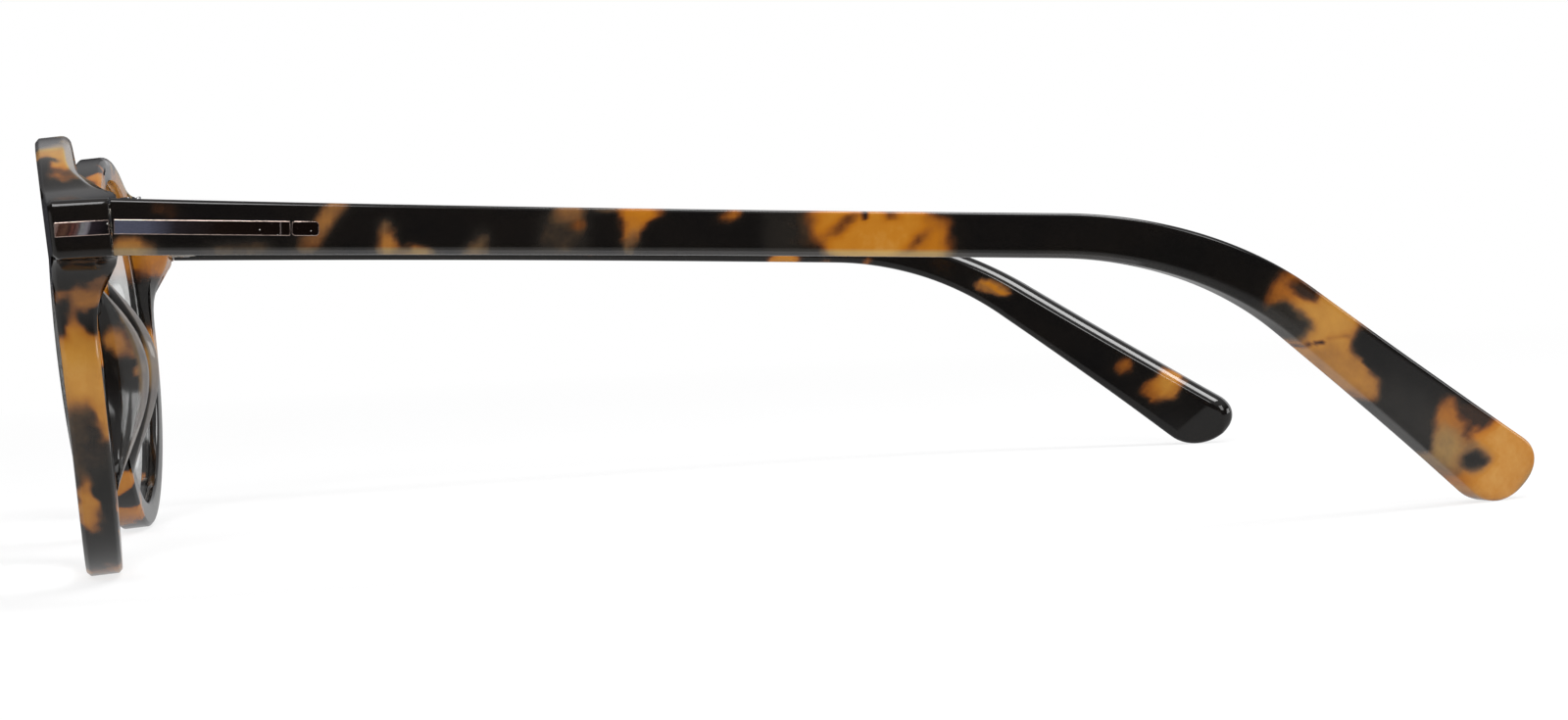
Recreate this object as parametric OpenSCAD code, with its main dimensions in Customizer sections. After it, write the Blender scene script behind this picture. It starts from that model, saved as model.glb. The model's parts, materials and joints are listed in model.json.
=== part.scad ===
// Round acetate eyeglasses with folding temples, clear lenses and inlaid metal bars.
// +X is the wearer's left, +Y runs back to the ears and +Z is up.
// The glasses stand open on the two rims and the two temple tips, and the origin is below their middle.
// The pieces are drawn as worn, with the joint between front and temples at y = 0, and are stood last.

/* [Lenses] */
// Width of each lens opening
lens_w = 44; // [42:0.5:49]
// Height of each lens opening
lens_h = 38.4; // [35:0.2:41]
// Distance between the lens openings over the nose
lens_gap = 24; // [19:0.5:25]
// How much wider the top of a lens opening is than its middle, as a share
lens_top_share = 0.03; // [0:0.01:0.05]
// Thickness of each lens
lens_t = 1.6; // [1.2:0.1:1.8]
// Radius of the lens's curve
lens_curve_r = 150; // [130:10:250]
// How far the lens's edge reaches into its groove
lens_bite = 0.55; // [0.4:0.05:0.7]
// Clearance round the lens's edge in its groove
lens_clear = 0.06; // [0.04:0.01:0.1]

/* [Front] */
// Width of the front over its endpieces
front_w = 142; // [138:1:148]
// Thickness of the front
front_t = 3.55; // [3.2:0.05:4.2]
// Height of the rim's acetate above and below a lens
rim_w = 2.9; // [2.6:0.1:3.4]
// Extra width of the rim beside a lens
rim_side_extra = 0.5; // [0:0.1:1]
// Radius of the bow of the front round the face
face_r = 650; // [550:10:900]
// Lean of the front, its top forward, in degrees
front_lean = 7; // [4:0.5:9]
// Height of the hinges above the middle of the lenses
hinge_rise = 11.85; // [10.5:0.25:13]
// Bevel along the outer edges of the acetate
edge_bevel = 0.55; // [0.4:0.05:0.7]
// Bevel along the edges of a lens opening
rim_inner_bevel = 0.35; // [0.2:0.05:0.45]

/* [Bridge] */
// Height of the bridge's top edge above the hinge line, at its middle
bridge_top = 2; // [0.5:0.25:3]
// Height of the bridge at its middle
bridge_h = 6; // [5:0.25:7]
// Extra thickness of the bridge behind the front
bridge_extra_t = 0.4; // [0.2:0.1:0.8]
// Rise of the bridge's top edge from its middle to the rims
bridge_top_rise = 1.4; // [1:0.1:1.8]
// Fall of the bridge's lower edge from its middle to the rims
bridge_arch = 2.6; // [1.5:0.1:3.5]

/* [Nose pads] */
// Height of each nose pad
pad_h = 22; // [18:0.5:24]
// Distance of the pads' tops below the hinge line
pad_drop = 4.6; // [4:0.2:6]
// How far a pad stands out behind the front
pad_out = 4.5; // [3.5:0.25:5.5]
// Width of a pad where it is glued to the rim
pad_w = 3; // [2.6:0.1:3.2]
// Outward slant of a pad from its foot to its ridge
pad_slant = 1.2; // [0.8:0.1:1.6]
// Glue line between a pad and the rim
pad_glue = 0.03; // [0.02:0.01:0.06]

/* [Endpieces] */
// Depth of the endpiece from the front face to the joint, at its outer face
end_depth = 5.5; // [5:0.1:6.2]
// Height of the endpiece at the joint
end_h = 5.4; // [5.2:0.1:6]
// Extra thickness that swells the front towards the joint
swell_t = 3.4; // [3:0.1:3.8]
// How far the full swelling reaches in from the endpiece's outer face
swell_flat = 16; // [14:0.5:17]
// How far the swelling then takes to fall away along the front
swell_fall = 4.6; // [4:0.2:6]
// Height above the hinge line where the swelling has halved
swell_up = 6.5; // [5.5:0.1:7]
// Depth below the hinge line where the swelling has halved
swell_down = 4.5; // [4:0.1:5.5]
// How gently the swelling falls away there
swell_soft = 1.25; // [0.8:0.05:1.5]
// Share of the swelling that is left at the edge of the lens opening
swell_in = 0.3; // [0.2:0.05:0.5]

/* [Temples] */
// Length of a temple along its middle, from the joint to its end
temple_len = 145; // [135:1:150]
// Length of a temple's straight part
straight_len = 87; // [80:1:92]
// Radius of the bend over the ear
bend_r = 36; // [30:1:45]
// Drop of the temple behind the ear, in degrees
tip_drop = 31.5; // [25:0.5:38]
// Inward turn of the temple behind the ear, in degrees
tip_turn = 23; // [15:0.5:28]
// Outward splay of a temple's straight part, in degrees
splay = 3; // [1:0.5:5]
// Height of a temple at the joint
temple_h = 5.2; // [5:0.1:5.8]
// Height of a temple at its slimmest
temple_mid_h = 4.15; // [3.8:0.05:4.8]
// Height of a temple at its rounded end
temple_tip_h = 8.2; // [7:0.1:9]
// Thickness of a temple at the joint
temple_t = 3.8; // [3.6:0.1:4.2]
// Thickness of a temple past its front half
temple_mid_t = 3.2; // [3:0.1:3.4]
// Length of the rounding at the temple's end
tip_round = 4.2; // [3:0.2:6]
// Slant of the temple's end: how far it leans back from its top edge to its bottom edge, per mm of height
tip_slant = 0.29; // [0:0.01:0.35]
// Diameter of the wire inside a temple
wire_d = 1.3; // [1:0.1:1.5]
// Clearance round the wire
wire_clear = 0.04; // [0.02:0.01:0.08]
// Distance of the wire's end from the temple's end
wire_short = 22; // [15:1:30]
// Distance of the wire's start from the joint
wire_start = 0.6; // [0.4:0.1:1.5]

/* [Hinges] */
// Lean of the joint between endpiece and temple, its top forward, in degrees
joint_lean = 4; // [0:0.5:6]
// Gap in the open joint between endpiece and temple
joint_gap = 0.16; // [0.1:0.02:0.3]
// Outer diameter of the barrels
barrel_d = 2.7; // [2.5:0.1:2.9]
// Distance of the hinge pin's middle from the temple's inner face
barrel_in = 2.3; // [2.1:0.1:2.6]
// Distance of the hinge pin's middle behind the joint
barrel_back = 1.55; // [1.5:0.05:1.7]
// Height of the five barrels together
barrel_stack = 4.4; // [4:0.1:4.6]
// Gap between neighbouring barrels
barrel_gap = 0.06; // [0.04:0.01:0.1]
// Diameter of the hinge screw's shank
screw_d = 1.2; // [1:0.1:1.4]
// Running clearance round the screw's shank
screw_clear = 0.05; // [0.02:0.01:0.09]
// Diameter of the hinge screw's head
screw_head_d = 1.9; // [1.7:0.1:2.2]
// Height of the hinge screw's head
screw_head_h = 0.5; // [0.4:0.05:0.7]
// Thickness of the hinge plates
plate_t = 0.7; // [0.6:0.05:0.8]
// Height of the hinge plates
plate_h = 3.4; // [3.2:0.1:3.6]
// Length of the plate on the front
front_plate_l = 7.6; // [6.5:0.1:8]
// Length of the plate on the temple
temple_plate_l = 11; // [9:0.5:13]
// How far a plate stands proud of the acetate
plate_proud = 0.1; // [0.05:0.05:0.15]
// Side of the square studs that hold a plate in the acetate
stud_w = 0.9; // [0.7:0.1:1]
// Length of the studs in the acetate
stud_l = 0.8; // [0.6:0.1:0.8]
// Clearance of metal pieces in their pockets
pocket_clear = 0.04; // [0.02:0.01:0.08]

/* [Metal bars] */
// Height of the bars
bar_h = 1.35; // [1:0.05:1.6]
// Thickness of the bars
bar_t = 0.8; // [0.6:0.05:0.9]
// How far the bars stand proud of the acetate
bar_proud = 0.1; // [0.05:0.05:0.2]
// Bevel along the edges of the bars
bar_bevel = 0.16; // [0.1:0.02:0.2]
// Length of the long bar on a temple
bar_l = 15.9; // [12:0.1:16.5]
// Gap between the long bar and the short one
bar_gap = 0.1; // [0.08:0.01:0.15]
// Length of the short bar on a temple
short_bar_l = 2.5; // [2:0.1:3]

/* [Hidden] */

// Steps round a rim, across the bridge and along an endpiece
rim_steps = 72;
bridge_steps = 16;
end_steps = 22;
// Curves of the small round pieces
$fn = 32;

// How far bridge and endpiece reach into the rim, and how far their surfaces lie under the rim's
rim_lap = 0.15;
under = 0.03;
// How far under the rim's outline the endpiece's upper edge starts
end_tuck = 0.3;
// Drop and length of the scoop that widens the endpiece's lower edge into the rim
scoop_drop = 4.5;
scoop_l = 6;
// Length over which the endpiece's upper edge comes down from the rim
crest_l = 12;
// Bevel between the front's face and the endpiece's outer face
end_edge = 0.35;

lens_x = (lens_gap + lens_w) / 2;
lens_z = -hinge_rise;
bridge_half = lens_gap / 2 + 4;
half_w = front_w / 2;
groove_w = lens_t + 2 * lens_clear;
groove_d = lens_bite + 2 * lens_clear;
// Depth of the joint behind the middle of the front's face
joint_depth = end_depth + face(half_w);
// How far the middle of the lens lies behind the rim's face, less the lens's own curve
lens_set = front_t / 2 - pow(lens_h / 2, 2) / (2 * lens_curve_r) - 0.12;
// Turn of a lens round the face
lens_turn = atan(lens_x / face_r);

hinge_x = half_w - temple_t - barrel_in;
barrel_h = (barrel_stack - 4 * barrel_gap) / 5;
bore_r = screw_d / 2 + screw_clear;

temple_x = half_w - temple_mid_t / 2;
out_dir = [sin(splay), cos(splay), 0];
tip_dir = [-sin(tip_turn) * cos(tip_drop), cos(tip_turn) * cos(tip_drop), -sin(tip_drop)];
bend_angle = acos(out_dir * tip_dir);
bend_side = unit(tip_dir - out_dir * (out_dir * tip_dir));
bend_len = bend_r * bend_angle * PI / 180;
wire_len = temple_len - wire_short;
// Length over which the end's slant sets in
tip_slant_l = 16;

function unit(v) = v / norm(v);

// Depth of the front's bowed face behind its middle
function face(x) = x * x / (2 * face_r);

// Distance from the middle of the opening as a share of the opening's edge
function out_share(x, z) = norm([(abs(x) - lens_x) / lens_w, (z - lens_z) / lens_h]) * 2;

// Thickness of the front, which swells towards the joint and falls away above, below and inside it
function thick(x, z) =
    front_t + swell_t * exp(-pow(max(0, half_w - swell_flat - abs(x)) / swell_fall, 2))
    * min(1, swell_in + 5 * max(0, out_share(x, z) - 1))
    / ((1 + exp((z - swell_up) / 0.5)) * (1 + exp(-(z + swell_down) / swell_soft)));

// Edge of a lens opening at an angle round its middle, its direction and its outward normal
function opening(a) =
    [lens_w / 2 * cos(a) * (1 + lens_top_share * sin(a)), lens_h / 2 * sin(a)];
function opening_dir(a) =
    [lens_w / 2 * (lens_top_share * cos(2 * a) - sin(a)), lens_h / 2 * cos(a)];
function opening_out(a) = let (d = unit(opening_dir(a))) [d[1], -d[0]];
function opening_offset(a, r) = [lens_x, lens_z] + opening(a) + r * opening_out(a);

// Width of the rim round the opening
function rim_width(a) = rim_w + rim_side_extra * pow(cos(a), 2);
rim_inside = [for (i = [0 : rim_steps - 1]) let (a = i * 360 / rim_steps)
    opening_offset(a, rim_width(a) - rim_lap)];

// Depth of the lens's middle behind the rim's face
function lens_depth(p) =
    lens_set - pow(p[0] - lens_x, 2) / (2 * face_r)
    + (pow(p[0] - lens_x, 2) + pow(p[1] - lens_z, 2)) / (2 * lens_curve_r);

// Share of the bevel that the rim's outer edge keeps, where the front grows on or a pad is glued on
function rim_angle(z) = asin(min(1, max(-1, (z - lens_z) / (lens_h / 2 + rim_w))));
function grown(a) = (a > rim_angle(-6.5) && a < rim_angle(4))
    || (180 - a > rim_angle(bridge_low(bridge_half) + 0.5) && 180 - a < rim_angle(bridge_up(bridge_half) - 0.5));
function face_share(a) = grown(a) ? 0.1 : 1;
function back_share(a) = grown(a) || (a > 125 && a < 245) ? 0.1 : 1;

// Rim section: distance out from the opening, 0 for the face or 1 for the back, and depth from it
function rim_section(w, f, b, g) = let (i = rim_inner_bevel) [
    [0, 0, i], [i, 0, 0], [w - f, 0, 0], [w - 0.3 * f, 0, 0.3 * f], [w, 0, f],
    [w, 1, b], [w - 0.3 * b, 1, 0.3 * b], [w - b, 1, 0], [i, 1, 0], [0, 1, i],
    [0, 0, g + groove_w / 2], [groove_d, 0, g + groove_w / 2],
    [groove_d, 0, g - groove_w / 2], [0, 0, g - groove_w / 2]];

function rim_ring(a) =
    [for (s = rim_section(rim_width(a), edge_bevel * face_share(a), edge_bevel * back_share(a),
            lens_depth(opening_offset(a, 0))))
        let (p = opening_offset(a, s[0]))
        [p[0], face(p[0]) + (s[1] == 1 ? thick(p[0], p[1]) - s[2] : s[2]), p[1]]];
rim_points = [for (i = [0 : rim_steps - 1]) each rim_ring(i * 360 / rim_steps)];

// Triangles of a tube through rings of n points, closed on itself or capped
function tube_faces(rings, n, closed) = concat(
    [for (i = [0 : rings - (closed ? 1 : 2)], j = [0 : n - 1])
        let (a = i * n, b = (i + 1) % rings * n, k = (j + 1) % n)
        each [[a + j, b + k, a + k], [a + j, b + j, b + k]]],
    closed ? [] : [[for (j = [0 : n - 1]) j], [for (j = [n - 1 : -1 : 0]) (rings - 1) * n + j]]);

// Outline of the rim beside and above the opening, as the height at a place
function rim_top(x) =
    let (w = lens_w / 2 + rim_w + rim_side_extra, s = min(1, abs(x - lens_x) / w))
    lens_z + (lens_h / 2 + rim_w) * sqrt(1 - s * s);

// Upper and lower edge of the endpiece, which widen into the rim
end_join = lens_x + 16;
function end_top(x) = x < end_join ? rim_top(x) - end_tuck
    : end_h / 2 + (rim_top(end_join) - end_tuck - end_h / 2) * pow(max(0, (end_join + crest_l - x) / crest_l), 2);
function end_low(x) = max(-end_h / 2 - scoop_drop * pow(max(0, (half_w - 6 - x) / scoop_l), 2), lens_z + 3);

// Endpiece section: a face with bevelled edges and a swelling back
end_back = [for (i = [0 : 12]) i / 12];
function end_section(x, b) = let (t = end_top(x), l = end_low(x)) concat(
    [[x, face(x) + under + b, l], [x, face(x) + under, l + b],
        [x, face(x) + under, t - b], [x, face(x) + under + b, t]],
    [for (s = end_back) let (z = t + (l - t) * s)
        [x, face(x) + thick(x, z) - under, z]]);
end_from = lens_x + lens_w / 2 - 8;
function end_x(i) = end_from + (half_w - edge_bevel - end_from) * i / end_steps;
end_points = concat(
    [for (p = end_section(half_w - edge_bevel, edge_bevel))
        [half_w, max(p[1], face(half_w) + end_edge),
            min(max(p[2], edge_bevel - end_h / 2), end_h / 2 - edge_bevel)]],
    [for (i = [end_steps : -1 : 0]) each end_section(end_x(i), edge_bevel)]);

// Upper and lower edge of the bridge
function bridge_up(x) = bridge_top + bridge_top_rise * pow(x / bridge_half, 2);
function bridge_low(x) =
    bridge_top - bridge_h - bridge_arch * pow(min(abs(x), lens_gap / 2 - 2) / (lens_gap / 2 - 2), 2);
function bridge_section(x) =
    let (t = bridge_up(x), l = bridge_low(x), f = edge_bevel, d = front_t + bridge_extra_t)
    [[under, l + f], [under, t - f], [under + f, t], [d - f, t], [d, t - f],
        [d, l + f], [d - f, l], [under + f, l]];

// Nose pad: rings down the nasal side of the rim
pad_steps = 14;
function pad_edge(z) = let (w = lens_w / 2 + rim_w + rim_side_extra, s = (z - lens_z) / (lens_h / 2 + rim_w))
    lens_x - w * sqrt(1 - s * s) + edge_bevel / 2;
function pad_ring(i) =
    let (s = i / pad_steps, z = -pad_drop - pad_h * s, x = pad_edge(z),
        out = 0.1 + pad_out * pow(sin(180 * pow(s, 0.85)), 1.2), d = front_t + pad_glue)
    [for (p = [[0, 0], [0.25, 0.45], [0.5, 0.8], [0.72, 0.96], [0.9, 1], [1.05, 0.95], [1.12, 0.7], [1, 0]])
        let (px = x + p[0] * pad_w * 0.72 + p[1] * pad_slant * (out / pad_out) * 0.6
            + (p[1] == 0 ? p[0] * pad_w * 0.28 : 0))
        [px, face(px) + d + p[1] * out, z]];
pad_points = [for (i = [0 : pad_steps]) each pad_ring(i)];

// Middle, direction, outward side and upward side of the temple at a distance from the joint
function bend_at(s) = min(max((s - straight_len) / bend_r * 180 / PI, 0), bend_angle);
function temple_at(s) = let (a = bend_at(s))
    [temple_x, 0, 0] + out_dir * min(s, straight_len)
    + bend_r * (sin(a) * out_dir + (1 - cos(a)) * bend_side)
    + tip_dir * max(s - straight_len - bend_len, 0);
function temple_dir(s) = cos(bend_at(s)) * out_dir + sin(bend_at(s)) * bend_side;
function temple_side(s) = let (d = temple_dir(s)) unit([d[1], -d[0], 0]);
function temple_up(s) = cross(temple_side(s), temple_dir(s));

// Height and thickness of the temple along its length
function temple_height(s) = let (f = s / temple_len)
    temple_mid_h + (temple_h - temple_mid_h) * pow(max(0, 1 - f / 0.5), 2)
    + (temple_tip_h - temple_mid_h) * pow(max(0, (f - 0.58) / 0.42), 2);
function temple_thick(s) =
    temple_mid_t + (temple_t - temple_mid_t) * pow(max(0, 1 - max(0, s) / temple_len / 0.5), 2);

// Share of the end's slant at a distance from the joint
function slant_at(s) = let (f = min(1, max(0, (s - temple_len + tip_slant_l) / (tip_slant_l - tip_round))))
    tip_slant * f * f * (3 - 2 * f);

// Temple section with rounded edges; the outer face stays straight and the end is rounded
function temple_ring(s) =
    let (r = max(0, (s - temple_len + tip_round) / tip_round), k = sqrt(max(0.02, 1 - r * r)),
        h = temple_height(s) / 2 * k, o = temple_mid_t / 2 - (1 - k) * 1.1,
        i = temple_mid_t / 2 - temple_thick(s) + (1 - k) * 1.1, b = edge_bevel * max(0.3, k))
    [for (p = [[o - 0.3 * b, -h + 0.3 * b], [o - b, -h], [i + b, -h], [i + 0.3 * b, -h + 0.3 * b],
            [i, -h + b], [i, h - b], [i + 0.3 * b, h - 0.3 * b], [i + b, h], [o - b, h],
            [o - 0.3 * b, h - 0.3 * b], [o, h - b], [o, -h + b]])
        temple_at(s) + p[0] * temple_side(s) + p[1] * (temple_up(s) + slant_at(s) * temple_dir(s))];
temple_stations = concat([-1, 0, 8], [for (i = [1 : 5]) 8 + (straight_len - 8) * i / 5],
    [for (i = [1 : 7]) straight_len + bend_len * i / 7],
    [for (i = [1 : 4]) straight_len + bend_len
        + (temple_len - tip_round - straight_len - bend_len) * i / 4],
    [for (a = [20, 40, 57, 72, 90]) temple_len - tip_round * (1 - sin(a))]);
temple_points = [for (s = temple_stations) each temple_ring(s)];

// The glasses as worn, leaned so that rims and temple tips stand on one floor
function lean_front(p) = let (y = p[1] - joint_depth)
    [p[0], y * cos(front_lean) - p[2] * sin(front_lean), y * sin(front_lean) + p[2] * cos(front_lean)];
front_worn = [for (p = concat(rim_points, [for (s = bridge_section(0)) [0, s[0], s[1]]])) lean_front(p)];
function stand_up(p, a) = [p[1] * cos(a) + p[2] * sin(a), p[2] * cos(a) - p[1] * sin(a)];
function low_of(points, a) = min([for (p = points) stand_up(p, a)[1]]);
function stand_angle(a, tries) = tries == 0 ? a
    : stand_angle(a + atan((low_of(temple_points, a) - low_of(front_worn, a)) / temple_len), tries - 1);
stand_lean = stand_angle(2.5, 6);
stand_z = -low_of(front_worn, stand_lean);
all_worn = concat(front_worn, temple_points);
stand_y = -(min([for (p = all_worn) stand_up(p, stand_lean)[0]])
    + max([for (p = all_worn) stand_up(p, stand_lean)[0]])) / 2;

module stood() translate([0, stand_y, stand_z]) rotate([-stand_lean, 0, 0]) children();
module front_space() rotate([front_lean, 0, 0]) translate([0, -joint_depth, 0]) children();
module hinge_space() rotate([joint_lean, 0, 0]) children();
module temple_space() translate([temple_x, 0, 0]) rotate([0, 0, -splay]) children();
module right_side() mirror([1, 0, 0]) children();
// Draws a flat shape across the front, through its thickness
module through_front() translate([0, -8, 0]) rotate([-90, 0, 0]) mirror([0, 1, 0]) linear_extrude(24) children();

module rim() polyhedron(rim_points, tube_faces(rim_steps, 14, true));
module endpiece() polyhedron(end_points, tube_faces(end_steps + 2, 17, false));
module bridge_slice(x) translate([x, face(x), 0]) rotate([90, 0, 90])
    linear_extrude(0.01) polygon(bridge_section(x));
module bridge() for (i = [0 : bridge_steps - 1]) hull() {
    bridge_slice(bridge_half * (2 * i / bridge_steps - 1));
    bridge_slice(bridge_half * (2 * (i + 1) / bridge_steps - 1));
}

// Side of the front's hinge plate from the temple, and the places of the studs on the plates
plate_side = 0.8;
stud_in = 1.6;
stud_rise = 0.9;
// Space behind the endpiece's joint face, and the pockets for its hinge plate and bar
module joint_cut() hinge_space() translate([half_w - 22, -joint_gap, -15]) cube([30, 30, 30]);
module stud(x, z, grow) translate([x - stud_w / 2 - grow, -joint_gap - plate_t - stud_l - grow, z - stud_w / 2 - grow])
    cube([stud_w + 2 * grow, stud_l + 2 * grow + 0.2, stud_w + 2 * grow]);
front_plate_x = half_w - temple_t - plate_side - front_plate_l;
module front_plate(grow) hinge_space() {
    translate([front_plate_x - grow, plate_proud - joint_gap - plate_t - grow, -plate_h / 2 - grow])
        cube([front_plate_l + 2 * grow, plate_t + 2 * grow, plate_h + 2 * grow]);
    stud(front_plate_x + stud_in, stud_rise, grow);
    stud(front_plate_x + front_plate_l - stud_in, -stud_rise, grow);
}
// Where the bars begin behind the front's face and behind the joint, and where the front's bar ends before it
end_bar_from = end_edge;
bar_from = joint_gap + 0.1;
end_bar_l = end_depth - end_bar_from - joint_gap - 0.05;
module end_bar_place() front_space() translate([half_w, face(half_w) + end_bar_from, 0]) children();
module temple_bar_place(from) temple_space() translate([temple_mid_t / 2, from, 0]) children();

// A bar laid along +Y, its outer face at x = proud, with bevelled edges or, where grown, its pocket
module bar(l, grow) {
    if (grow > 0)
        translate([bar_proud - bar_t - grow, -grow, -bar_h / 2 - grow])
            cube([bar_t + 2, l + 2 * grow, bar_h + 2 * grow]);
    else
        hull() {
            translate([bar_proud - bar_t, 0, -bar_h / 2]) cube([bar_t - bar_bevel, l, bar_h]);
            translate([bar_proud - bar_t, bar_bevel, bar_bevel - bar_h / 2])
                cube([bar_t, l - 2 * bar_bevel, bar_h - 2 * bar_bevel]);
        }
}

module front_frame() color([0.42, 0.24, 0.08]) stood() difference() {
    front_space() {
        rim();
        right_side() rim();
        difference() {
            union() {
                bridge();
                endpiece();
                right_side() endpiece();
            }
            through_front() polygon(rim_inside);
            right_side() through_front() polygon(rim_inside);
        }
    }
    for (side = [0, 1]) mirror([side, 0, 0]) {
        joint_cut();
        front_plate(pocket_clear);
        end_bar_place() bar(end_bar_l, pocket_clear);
    }
}

module lens() color([0.86, 0.92, 0.95, 0.35]) stood() front_space()
    translate([lens_x, face(lens_x) + lens_set, lens_z]) rotate([0, 0, lens_turn]) intersection() {
        translate([0, 12, 0]) rotate([90, 0, 0]) linear_extrude(24)
            polygon([for (i = [0 : rim_steps - 1]) let (a = i * 360 / rim_steps)
                opening(a) + lens_bite * opening_out(a)]);
        translate([0, lens_curve_r, 0]) difference() {
            sphere(lens_curve_r + lens_t / 2, $fn = 180);
            sphere(lens_curve_r - lens_t / 2, $fn = 180);
        }
    }

module nose_pad() color([0.2, 0.12, 0.06]) stood() front_space()
    polyhedron(pad_points, tube_faces(pad_steps + 1, 8, false));

// Barrels at the numbered places of the stack, counted from below, each with its arm's flat shape
module barrels(places) for (i = places)
    translate([0, 0, -barrel_stack / 2 + i * (barrel_h + barrel_gap)]) linear_extrude(barrel_h) difference() {
        union() {
            translate([hinge_x, barrel_back]) circle(d = barrel_d);
            children();
        }
        translate([hinge_x, barrel_back]) circle(r = bore_r);
    }

module front_hinge() color([0.72, 0.68, 0.6]) stood() {
    front_plate(0);
    hinge_space() barrels([0, 2, 4]) translate([hinge_x - barrel_d / 2, -joint_gap])
        square([barrel_d, barrel_back + joint_gap]);
}

// Plate on the temple's inner face, at its thickness there
temple_in = temple_mid_t / 2 - temple_t;
temple_plate_from = 1.1;
module temple_plate(grow) temple_space() {
    translate([temple_in - plate_proud - grow, temple_plate_from - grow - (grow > 0 ? 3 : 0), -plate_h / 2 - grow])
        cube([plate_t + 2 * grow, temple_plate_l + 2 * grow + (grow > 0 ? 3 : 0), plate_h + 2 * grow]);
    for (p = [[2 * stud_in, stud_rise], [temple_plate_l - stud_in, -stud_rise]])
        translate([temple_in, temple_plate_from + p[0] - stud_w / 2 - grow, p[1] - stud_w / 2 - grow])
            cube([plate_t - plate_proud + stud_l + grow, stud_w + 2 * grow, stud_w + 2 * grow]);
}

module temple_hinge() color([0.72, 0.68, 0.6]) stood() {
    temple_plate(0);
    hinge_space() barrels([1, 3]) polygon([[hinge_x, barrel_back - barrel_d / 2],
        [hinge_x + barrel_in + 0.3, temple_plate_from - 0.2], [hinge_x + barrel_in + 0.3, temple_plate_from + 3.2],
        [hinge_x + barrel_in - 0.4, temple_plate_from + 3.2], [hinge_x, barrel_back + barrel_d / 2]]);
}

module hinge_screw() color([0.8, 0.78, 0.74]) stood() hinge_space() translate([hinge_x, barrel_back, 0])
    difference() {
        union() {
            translate([0, 0, -barrel_stack / 2 - 0.1]) cylinder(d = screw_d, h = barrel_stack + 0.2);
            translate([0, 0, barrel_stack / 2 + 0.02]) cylinder(d = screw_head_d, h = screw_head_h);
        }
        translate([-screw_head_d / 2 - 1, -0.14, barrel_stack / 2 + screw_head_h - 0.22])
            cube([screw_head_d + 2, 0.28, 1]);
    }

// Wire along the temple's middle: straight, bent and straight
// The bend is a trace thinner than the straight lengths, and runs a little way into both of them
bend_thin = 0.02;
bend_run = 0.4 / bend_r * 180 / PI;
module along(dir, side, from) multmatrix([for (r = [0 : 2])
    [side[r], cross(dir, side)[r], dir[r], from[r]]]) children();
module core_path(d, from, to) {
    along(out_dir, bend_side, temple_at(from)) cylinder(d = d, h = straight_len - from);
    multmatrix([for (r = [0 : 2]) [-bend_side[r], out_dir[r], cross(out_dir, bend_side)[r],
        temple_at(straight_len)[r] + bend_r * bend_side[r]]])
        rotate([0, 0, -bend_run]) rotate_extrude(angle = bend_angle + 2 * bend_run)
            translate([bend_r, 0]) circle(d = d - bend_thin);
    along(tip_dir, unit(bend_side * cos(bend_angle) - out_dir * sin(bend_angle)), temple_at(straight_len + bend_len))
        cylinder(d = d, h = to - straight_len - bend_len);
}
module core_wire() color([0.75, 0.75, 0.75]) stood() core_path(wire_d, wire_start, wire_len);

module temple() color([0.3, 0.18, 0.07]) stood() difference() {
    polyhedron(temple_points, tube_faces(len(temple_stations), 12, false));
    hinge_space() translate([half_w - 20, -30, -15]) cube([40, 30, 30]);
    temple_plate(pocket_clear);
    temple_bar_place(bar_from) bar(bar_l + bar_gap + short_bar_l, pocket_clear);
    core_path(wire_d + 2 * wire_clear, -2, wire_len + 0.1);
}

module endpiece_bar() color([0.6, 0.56, 0.56]) stood() end_bar_place() bar(end_bar_l, 0);
module temple_bar() color([0.6, 0.56, 0.56]) stood() temple_bar_place(bar_from) bar(bar_l, 0);
module short_bar() color([0.6, 0.56, 0.56]) stood()
    temple_bar_place(bar_from + bar_l + bar_gap) bar(short_bar_l, 0);

front_frame();
lens();  // left_lens
right_side() lens();  // right_lens
nose_pad();  // left_nose_pad
right_side() nose_pad();  // right_nose_pad
front_hinge();  // left_front_hinge
right_side() front_hinge();  // right_front_hinge
endpiece_bar();  // left_endpiece_bar
right_side() endpiece_bar();  // right_endpiece_bar
hinge_screw();  // left_hinge_screw
right_side() hinge_screw();  // right_hinge_screw
temple();  // left_temple
right_side() temple();  // right_temple
core_wire();  // left_core_wire
right_side() core_wire();  // right_core_wire
temple_hinge();  // left_temple_hinge
right_side() temple_hinge();  // right_temple_hinge
temple_bar();  // left_temple_bar
right_side() temple_bar();  // right_temple_bar
short_bar();  // left_short_bar
right_side() short_bar();  // right_short_bar
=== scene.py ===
import json
import math
from functools import partial

import bmesh
import bpy
import numpy as np
from mathutils import Matrix, Vector
from mathutils.geometry import delaunay_2d_cdt


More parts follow.
